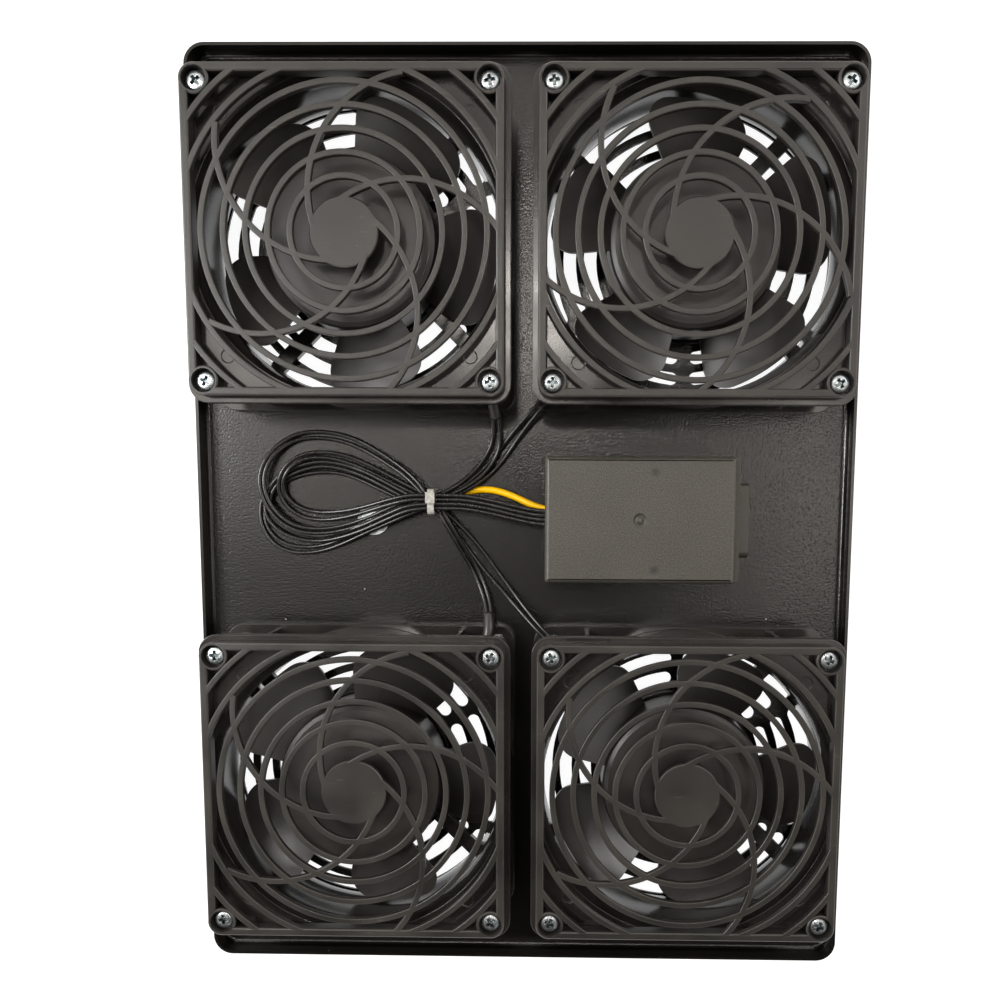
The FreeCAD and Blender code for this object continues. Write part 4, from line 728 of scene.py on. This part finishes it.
# A guard's sizes in metres and radians, by the names of its node tree's inputs.
GUARD_SIZES = {
    "Rings": 7, "First Ring": 19.5 * MM, "Ring Pitch": 8.05 * MM,
    "Bar Width": 2.2 * MM, "Bar Depth": 2.6 * MM, "Bar Round": 0.35 * MM,
    "Arms": 5, "Arm Radius": 41.0 * MM, "Arm Offset": 31.6 * MM,
    "Arm Start": math.radians(-45.5), "Arm Turn": math.radians(72.5), "Arm Sweep": math.radians(99.0),
    "Disc Radius": 12.5 * MM, "Rim Half": 57.9 * MM, "Rim Width": 3.2 * MM, "Rim Height": 6.0 * MM,
    "Rim Round": 0.7 * MM, "Boss Radius": 5.4 * MM, "Bore Radius": 4.4 * MM, "Hole Radius": 2.15 * MM,
    "Boss Floor": 1.4 * MM, "Edge": 0.4 * MM, "Step": 0.02 * MM,
}
GUARD_COUNTS = ("Rings", "Arms")
# How many sides the rings, arms, cylinders and roundings have.
RING_STEPS = 180
ARM_STEPS = 60
CYLINDER_STEPS = 72
BAR_CORNER_STEPS = 3
RIM_CORNER_STEPS = 12
# The height of the guards' feet in millimetres, and how each guard is turned, in degrees.
GUARD_FOOT = 39.2
GUARD_TURNS = {"fan_1": 0, "fan_2": -90, "fan_3": 0, "fan_4": 0}


def guard_tree():
    """A node tree that grows a square grille: rings, spiral arms, disc, rim and bored corner bosses."""
    tree = bpy.data.node_groups.new("guard_tree", "GeometryNodeTree")
    interface = tree.interface
    for name in GUARD_SIZES:
        kind = "NodeSocketInt" if name in GUARD_COUNTS else "NodeSocketFloat"
        interface.new_socket(name, in_out="INPUT", socket_type=kind)
    interface.new_socket("Geometry", in_out="OUTPUT", socket_type="NodeSocketGeometry")
    given = add_node(tree, "NodeGroupInput").outputs

    def node(kind, inputs=None, fields=None):
        return add_node(tree, kind, inputs, fields).outputs[0]

    def sum_of(operation, *values):
        return math_of(tree, operation, *values)

    def vector(x=0.0, y=0.0, z=0.0):
        return node("ShaderNodeCombineXYZ", {0: x, 1: y, 2: z})

    def moved(geometry, place, turn=None):
        inputs = {"Geometry": geometry, "Translation": place}
        if turn is not None:
            inputs["Rotation"] = turn
        return node("GeometryNodeTransform", inputs)

    def joined(*parts):
        made = tree.nodes.new("GeometryNodeJoinGeometry")
        for one in reversed(parts):
            tree.links.new(one, made.inputs[0])
        return made.outputs[0]

    def realized(geometry):
        return node("GeometryNodeRealizeInstances", {"Geometry": geometry})

    def rectangle(width, height, steps, rounding):
        """A line round a rectangle whose corners are rounded in so many steps."""
        outline = node("GeometryNodeCurvePrimitiveQuadrilateral", {"Width": width, "Height": height})
        return node("GeometryNodeFilletCurve",
                    {"Curve": outline, "Count": steps, "Radius": rounding}, {"mode": "POLY"})

    def swept(path, width, height, rounding):
        """A bar along a path, with a rounded rectangle for its section and closed ends."""
        profile = rectangle(width, height, BAR_CORNER_STEPS, rounding)
        level = node("GeometryNodeSetCurveNormal", {"Curve": path}, {"mode": "Z_UP"})
        return node("GeometryNodeCurveToMesh",
                    {"Curve": level, "Profile Curve": profile, "Fill Caps": True})

    def cylinder_of(radius, depth, foot):
        """A cylinder that stands on a height."""
        made = node("GeometryNodeMeshCylinder",
                    {"Vertices": CYLINDER_STEPS, "Radius": radius, "Depth": depth})
        return moved(made, vector(z=sum_of("MULTIPLY_ADD", depth, 0.5, foot)))

    def bevelled(radius, depth, foot):
        """A cylinder whose upper edge is cut back."""
        stem = sum_of("SUBTRACT", depth, given["Edge"])
        crown = node("GeometryNodeMeshCone",
                     {"Vertices": CYLINDER_STEPS, "Radius Top": sum_of("SUBTRACT", radius, given["Edge"]),
                      "Radius Bottom": radius, "Depth": given["Edge"]})
        crown = moved(crown, vector(z=sum_of("ADD", foot, stem)))
        return joined(cylinder_of(radius, stem, foot), crown)

    index = node("GeometryNodeInputIndex")
    radius = sum_of("MULTIPLY_ADD", index, given["Ring Pitch"], given["First Ring"])
    circle = node("GeometryNodeCurvePrimitiveCircle", {"Resolution": RING_STEPS, "Radius": 1.0})
    ring_points = node("GeometryNodePoints", {"Count": given["Rings"]})
    rings = node("GeometryNodeInstanceOnPoints",
                 {"Points": ring_points, "Instance": circle, "Scale": vector(radius, radius, 1.0)})
    arc = node("GeometryNodeCurveArc",
               {"Resolution": ARM_STEPS, "Radius": given["Arm Radius"], "Start Angle": 0.0,
                "Sweep Angle": given["Arm Sweep"]})
    arm = moved(arc, vector(given["Arm Offset"]), vector(z=given["Arm Turn"]))
    arm_points = node("GeometryNodePoints", {"Count": given["Arms"]})
    step = sum_of("DIVIDE", math.tau, given["Arms"])
    arms = node("GeometryNodeInstanceOnPoints",
                {"Points": arm_points, "Instance": arm,
                 "Rotation": vector(z=sum_of("MULTIPLY_ADD", index, step, given["Arm Start"]))})
    arms = moved(arms, vector(z=sum_of("MULTIPLY", given["Step"], -1.0)))
    lines = node("GeometryNodeCurveToMesh", {"Curve": realized(joined(rings, arms))})
    place = add_node(tree, "ShaderNodeSeparateXYZ", {0: node("GeometryNodeInputPosition")}).outputs
    reach = sum_of("MAXIMUM", sum_of("ABSOLUTE", place[0]), sum_of("ABSOLUTE", place[1]))
    middle = sum_of("MULTIPLY_ADD", given["Rim Width"], -0.5, given["Rim Half"])
    outside = node("FunctionNodeCompare", {0: reach, 1: middle},
                   {"data_type": "FLOAT", "operation": "GREATER_THAN"})
    kept = node("GeometryNodeDeleteGeometry", {"Geometry": lines, "Selection": outside}, {"domain": "POINT"})
    bars = swept(node("GeometryNodeMeshToCurve", {"Mesh": kept}),
                 given["Bar Width"], given["Bar Depth"], given["Bar Round"])
    bar_level = sum_of("MULTIPLY_ADD", given["Bar Depth"], -0.5, given["Rim Height"])
    bars = moved(bars, vector(z=sum_of("SUBTRACT", bar_level, given["Step"])))
    disc_foot = sum_of("SUBTRACT", given["Rim Height"], given["Bar Depth"])
    disc = bevelled(given["Disc Radius"], sum_of("MULTIPLY_ADD", given["Step"], -3.0, given["Bar Depth"]),
                    disc_foot)

    side = sum_of("MULTIPLY", middle, 2.0)
    bend = sum_of("MULTIPLY_ADD", given["Rim Width"], -0.5, given["Boss Radius"])
    rim = swept(rectangle(side, side, RIM_CORNER_STEPS, bend),
                given["Rim Width"], given["Rim Height"], given["Rim Round"])
    rim = moved(rim, vector(z=sum_of("MULTIPLY", given["Rim Height"], 0.5)))
    spread = sum_of("MULTIPLY", sum_of("SUBTRACT", given["Rim Half"], given["Boss Radius"]), 2.0)
    corners = node("GeometryNodeMeshGrid",
                   {"Size X": spread, "Size Y": spread, "Vertices X": 2, "Vertices Y": 2})

    def at_corners(piece):
        return realized(node("GeometryNodeInstanceOnPoints", {"Points": corners, "Instance": piece}))

    bosses = at_corners(bevelled(given["Boss Radius"], given["Rim Height"], 0.0))
    bores = at_corners(cylinder_of(given["Bore Radius"], given["Rim Height"], given["Boss Floor"]))
    holes = at_corners(cylinder_of(given["Hole Radius"], given["Rim Height"], -1.0 * MM))
    edge = node("GeometryNodeMeshBoolean",
                {"Mesh 1": joined(rim, bosses), "Mesh 2": joined(bores, holes), "Self Intersection": True},
                {"operation": "DIFFERENCE", "solver": "EXACT"})
    whole = joined(edge, bars, disc)
    smooth = node("GeometryNodeSetShadeSmooth", {"Geometry": whole})
    coated = node("GeometryNodeSetMaterial",
                  {"Geometry": realized(smooth), "Material": material("guard")})
    add_node(tree, "NodeGroupOutput", {"Geometry": coated})
    return tree


def guard_mesh():
    """The grille that every fan carries, about its own axis and on its own foot."""
    holder = plain_object("guard_blank", bpy.data.meshes.new("guard_blank"))
    grower = holder.modifiers.new("grille", "NODES")
    grower.node_group = guard_tree()
    for item in grower.node_group.interface.items_tree:
        if item.in_out == "INPUT":
            grower[item.identifier] = GUARD_SIZES[item.name]
    return flat_and_round(applied(holder))


# --- Settings ---

def setting(name, description, default, **limits):
    """A number that the panel shows."""
    return bpy.props.FloatProperty(name=name, description=description, default=default, **limits)


class FanTrayScrews(bpy.types.PropertyGroup):
    """The guard screws' sizes, in millimetres"""
    head: setting("Head", "Diameter of a guard screw's head, in mm", 7.2)
    height: setting("Height", "Height of a guard screw's head, in mm", 2.5)
    diameter: setting("Thread", "Diameter of the thread, in mm", 4.0)
    pitch: setting("Pitch", "Side of the square of screws, in mm", 105.0)
    seat: setting("Seat", "Height of the heads' seats, in mm", 40.6)


class FanTrayStage(bpy.types.PropertyGroup):
    """The floor's colour and the strength of the lights"""
    floor: bpy.props.FloatVectorProperty(
        name="Floor", description="Colour of the floor", subtype="COLOR", size=4,
        default=linear("#f4f4f2"), min=0.0, max=1.0)
    key_power: setting("Key lamp", "Power of the key lamp, in watts", 11.0, min=0.0)
    fill_power: setting("Fill lamp", "Power of the fill lamp, in watts", 4.0, min=0.0)
    sky: setting("Sky", "Strength of the room's light", 0.7, min=0.0)


# --- Operators ---

# Radii of the mouldings' edges and the screws' length, in millimetres, and the seed of the screws' turns.
FRAME_EDGE = 0.25
LID_EDGE = 0.5
BASE_EDGE = 0.3
SCREW_LENGTH = 10.4
SCREW_SEED = 7


class FANTRAY_OT_coat(bpy.types.Operator):
    """Finishes the folded tray and its clinch studs"""
    bl_idname = "fantray.coat"
    bl_label = "Tray"

    def execute(self, context):
        coat_nodes("coat", "tray_pan")
        coat_nodes("zinc", "fan_studs", "fan_nuts")
        return {"FINISHED"}


class FANTRAY_OT_fans(bpy.types.Operator):
    """Finishes the four fans: frames, impellers, motors and guards"""
    bl_idname = "fantray.fans"
    bl_label = "Fans"

    def execute(self, context):
        finishes = {"impeller": "impeller", "rotor_cup": "steel", "shaft": "steel",
                    "bearings": "steel", "stator": "core", "lead_sleeve": "sleeve"}
        grille = guard_mesh()
        for fan in FANS:
            for part, finish in finishes.items():
                coat_nodes(finish, f"{fan}_{part}")
            low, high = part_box(f"{fan}_finger_guard")
            middle = (low + high) / 2
            moulding = grille.copy()
            moulding.transform(Matrix.Translation((middle.x, middle.y, GUARD_FOOT * MM))
                               @ Matrix.Rotation(math.radians(GUARD_TURNS[fan]), 4, "Z"))
            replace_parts(new_piece(f"{fan}_guard_moulding", moulding, "guard"),
                        f"{fan}_finger_guard")
            softened(f"{fan}_duct_moulding", f"{fan}_frame", "frame", FRAME_EDGE)
        coat_nodes("zinc", "guard_nuts")
        return {"FINISHED"}


class FANTRAY_OT_screws(bpy.types.Operator):
    """Sets the cross-head screws in the guards' corner bosses"""
    bl_idname = "fantray.screws"
    bl_label = "Guard screws"

    def execute(self, context):
        sizes = context.scene.fan_tray_screws
        half = sizes.pitch / 2
        points = []
        for fan in FANS:
            low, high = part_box(f"{fan}_finger_guard")
            middle = (low + high) / 2 / MM
            points += [(middle.x + x, middle.y + y, sizes.seat) for x in (-half, half) for y in (-half, half)]
        master = screw_master(sizes.head, sizes.height, sizes.diameter, SCREW_LENGTH)
        copies = scattered("guard_screw_set", points, master, "zinc", SCREW_SEED)
        piece = new_piece("guard_screw_set", copies, "zinc")
        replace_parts(piece, "guard_screws")
        return {"FINISHED"}


class FANTRAY_OT_box(bpy.types.Operator):
    """Finishes the control box, its power inlet and what is inside"""
    bl_idname = "fantray.box"
    bl_label = "Control box"

    def execute(self, context):
        softened("lid_moulding", "control_box_lid", "lid", LID_EDGE, segments=3)
        softened("base_moulding", "control_box_base", "box", BASE_EDGE)
        coat_nodes("inlet", "power_inlet", "terminal_strip")
        coat_nodes("tin", "inlet_pins")
        coat_nodes("zinc", "control_box_screws")
        return {"FINISHED"}


class FANTRAY_OT_earth(bpy.types.Operator):
    """Finishes the earth point and lays its lead"""
    bl_idname = "fantray.earth"
    bl_label = "Earth point"

    def execute(self, context):
        coat_nodes("zinc", "earth_stud", "earth_nut", "earth_washer")
        coat_nodes("tin", "earth_terminal")
        wire = spline_curve("earth_wire", EARTH_ROUTE, EARTH_WIRE, "earth_wire")
        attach(wire, TRAY)
        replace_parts(wire, "earth_lead")
        return {"FINISHED"}


class FANTRAY_OT_wiring(bpy.types.Operator):
    """Lays the four fans' pairs of leads through the tie, round their loops and to the box"""
    bl_idname = "fantray.wiring"
    bl_label = "Fan leads"

    def execute(self, context):
        for fan in FANS:
            for number, side in ((1, -1), (2, 1)):
                points = lead_points(fan, side)
                wire = spline_curve(f"{fan}_wire_{number}", points, WIRE, "black_wire")
                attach(wire, TRAY)
                on_it = [boot(fan)] if fan in BOOTS and side == 1 else []
                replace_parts(wire, f"{fan}_lead", "lead_hank", "box_leads")
        coat_nodes("nylon", "cable_tie")
        return {"FINISHED"}


# The camera's lens in millimetres, the shifts of its picture, its place in metres and its turns in radians.
LENS = 35.837
SHIFT = (-0.04726, 0.11539)
CAMERA_PLACE = (0.015655, 0.010723, 0.415175)
CAMERA_TURNS = (-0.11805, 0.01498, 0.0075)
# The floor's half side, how far it lies under the tray, and the lamps' sizes and places, in metres.
FLOOR_HALF = 3
FLOOR_DROP = 0.0002
KEY_LAMP = (0.4, (-0.75, 0.15, 0.8))
FILL_LAMP = (0.8, (0.9, 0.7, 1.0))


class FANTRAY_OT_stage(bpy.types.Operator):
    """Sets the floor, the lamps, the world and the camera"""
    bl_idname = "fantray.stage"
    bl_label = "Stage"

    def execute(self, context):
        scene = context.scene
        stage = scene.fan_tray_stage
        corners = [(x * FLOOR_HALF, y * FLOOR_HALF, 0) for x, y in ((-1, -1), (1, -1), (1, 1), (-1, 1))]
        floor_mesh = bpy.data.meshes.new("floor")
        floor_mesh.from_pydata(corners, [], [(0, 1, 2, 3)])
        floor = plain_object("floor", floor_mesh)
        floor.location.z = -FLOOR_DROP
        floor_mesh.materials.append(floor_material(tuple(stage.floor)))
        scene.world = room_world(stage.sky)
        lamp("key", stage.key_power, *KEY_LAMP)
        lamp("fill", stage.fill_power, *FILL_LAMP)
        camera = bpy.data.cameras.new("camera")
        camera.sensor_width = 36.0
        camera.lens = LENS
        camera.shift_x, camera.shift_y = SHIFT
        camera.clip_start = 0.01
        camera.clip_end = 20.0
        holder = plain_object("camera", camera)
        holder.location = CAMERA_PLACE
        holder.rotation_mode = "ZYX"
        holder.rotation_euler = CAMERA_TURNS
        scene.camera = holder
        scene.view_settings.view_transform = "Standard"
        return {"FINISHED"}


# The room's lights and dark places: where each is, as slopes across and along from straight up, how far it
# reaches, and what it adds to the light there. A glow fades between two sizes of its ellipse.
ROOM = (
    ((-0.2, -0.02), (0.08, 0.10), 5.0), ((-0.13, 0.07), (0.06, 0.06), 2.5),
    ((0.24, 0.0), (0.10, 0.16), 9.0), ((-0.36, 0.13), (0.16, 0.14), 6.0),
    ((-0.04, 0.18), (0.06, 0.062), 75.0), ((-0.25, 0.42), (0.3, 0.12), 0.9),
    ((-1.3, 0.2), (0.7, 0.8), 3.4), ((1.2, 0.5), (0.6, 0.8), 2.4), ((0.0, -8.0), (9.0, 6.8), 3.0),
)
GLOW_EDGE = (0.2, 1.0)
# Where someone leans over the tray, in the same slopes, how the shadow fades, and the light left in it.
LEANING = (((0.03, -0.06), (0.165, 0.25)), ((0.0, -0.62), (0.5, 0.42)))
SHADE_EDGE = (0.8, 1.15)
SHADE_LEFT = 0.06
# The light's rise along the room and away from straight up: from and to which slope, and how strong.
ALONG = (-0.6, 0.6, 0.28, 1.4)
AWAY = (0.7, 2.4, 0.0, 1.8)
# The least rise of a direction, which keeps the slopes finite.
LEAST_RISE = 0.04


def room_world(strength):
    """A room of soft ceiling lights, bright at both sides, dark overhead where someone leans in."""
    world = bpy.data.worlds.new("room")
    tree = empty_tree(world)
    ray = add_node(tree, "ShaderNodeTexCoord").outputs["Generated"]
    aim = add_node(tree, "ShaderNodeSeparateXYZ", {0: ray}).outputs
    rise = math_of(tree, "MAXIMUM", aim[2], LEAST_RISE)
    slopes = [math_of(tree, "DIVIDE", aim[i], rise) for i in (0, 1)]
    place = add_node(tree, "ShaderNodeCombineXYZ", dict(enumerate(slopes))).outputs[0]
    light = remap(tree, slopes[1], *ALONG)
    for middle, reach in LEANING:
        shade = lobe(tree, place, middle, reach, *SHADE_EDGE)
        light = math_of(tree, "MULTIPLY", light, remap(tree, shade, 0.0, 1.0, 1.0, SHADE_LEFT))
    height = vector_math(tree, "LENGTH", place)["Value"]
    light = math_of(tree, "ADD", light, remap(tree, height, *AWAY))
    for middle, reach, strength_here in ROOM:
        glow = lobe(tree, place, middle, reach, *GLOW_EDGE)
        light = math_of(tree, "MULTIPLY_ADD", glow, strength_here, light)
    patch = remap(tree, noise(tree, ray, 7.0, 1.0), 0.4, 0.64, 0.7, 1.4)
    level = math_of(tree, "MULTIPLY", math_of(tree, "MULTIPLY", light, patch), strength)
    background = add_node(tree, "ShaderNodeBackground", {0: linear("#fff8f0"), 1: level})
    add_node(tree, "ShaderNodeOutputWorld", {0: background.outputs[0]})
    return world


def lobe(tree, place, middle, reach, inner, outer):
    """One within an ellipse about a middle, falling smoothly to nothing between two of its sizes."""
    away = vector_math(tree, "SUBTRACT", place, (*middle, 0.0))[0]
    scaled = vector_math(tree, "DIVIDE", away, (*reach, 1.0))[0]
    return fading(tree, vector_math(tree, "LENGTH", scaled)["Value"], inner, outer)


def lamp(name, power, size, place):
    """A square soft lamp that looks at the tray."""
    light = bpy.data.lights.new(name, "AREA")
    light.energy = power
    light.size = size
    holder = plain_object(name, light)
    holder.location = place
    holder.rotation_mode = "QUATERNION"
    holder.rotation_quaternion = Vector(place).to_track_quat("Z", "Y")


def floor_material(colour):
    """A matt pale sweep that reads white to the eye and still takes the object's shadow."""
    made = bpy.data.materials.new("sweep")
    tree = empty_tree(made)
    path = add_node(tree, "ShaderNodeLightPath").outputs
    seen = math_of(tree, "MAXIMUM", path["Is Camera Ray"], path["Is Glossy Ray"])
    seen = math_of(tree, "MAXIMUM", seen, path["Is Transmission Ray"])
    matt = add_node(tree, "ShaderNodeBsdfDiffuse", {0: colour}).outputs[0]
    faint = add_node(tree, "ShaderNodeBsdfDiffuse", {0: linear("#8c8c8c")}).outputs[0]
    glow = add_node(tree, "ShaderNodeEmission", {0: linear("#ffffff"), 1: 0.94}).outputs[0]
    bright = add_node(tree, "ShaderNodeAddShader", {0: faint, 1: glow}).outputs[0]
    mixed = add_node(tree, "ShaderNodeMixShader", {0: seen, 1: matt, 2: bright}).outputs[0]
    add_node(tree, "ShaderNodeOutputMaterial", {"Surface": mixed})
    return made


class FANTRAY_PT_panel(bpy.types.Panel):
    """Lists the pieces of the fan tray"""
    bl_idname = "FANTRAY_PT_panel"
    bl_label = "Fan tray"
    bl_space_type = "VIEW_3D"
    bl_region_type = "UI"
    bl_category = "Fan Tray"

    def draw(self, context):
        for operator in OPERATORS:
            self.layout.operator(operator.bl_idname)
        for group in (context.scene.fan_tray_screws, context.scene.fan_tray_stage):
            for name in group.__annotations__:
                self.layout.prop(group, name)


OPERATORS = (FANTRAY_OT_stage, FANTRAY_OT_wiring, FANTRAY_OT_coat, FANTRAY_OT_fans, FANTRAY_OT_screws,
             FANTRAY_OT_box, FANTRAY_OT_earth)
CLASSES = (FanTrayScrews, FanTrayStage, *OPERATORS, FANTRAY_PT_panel)


def register():
    for item in CLASSES:
        bpy.utils.register_class(item)
    bpy.types.Scene.fan_tray_screws = bpy.props.PointerProperty(type=FanTrayScrews)
    bpy.types.Scene.fan_tray_stage = bpy.props.PointerProperty(type=FanTrayStage)


def unregister():
    del bpy.types.Scene.fan_tray_stage
    del bpy.types.Scene.fan_tray_screws
    for item in reversed(CLASSES):
        bpy.utils.unregister_class(item)


def clear_start():
    """Removes what a new file holds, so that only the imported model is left."""
    kept = set(frame["nodes"].values()) | set(frame["bodies"].values())
    for item in list(bpy.data.objects):
        if item not in kept:
            bpy.data.objects.remove(item)


def main():
    register()
    clear_start()
    for operator in OPERATORS:
        area, name = operator.bl_idname.split(".")
        getattr(getattr(bpy.ops, area), name)()
    bpy.context.view_layer.update()


if __name__ == "__main__":
    main()
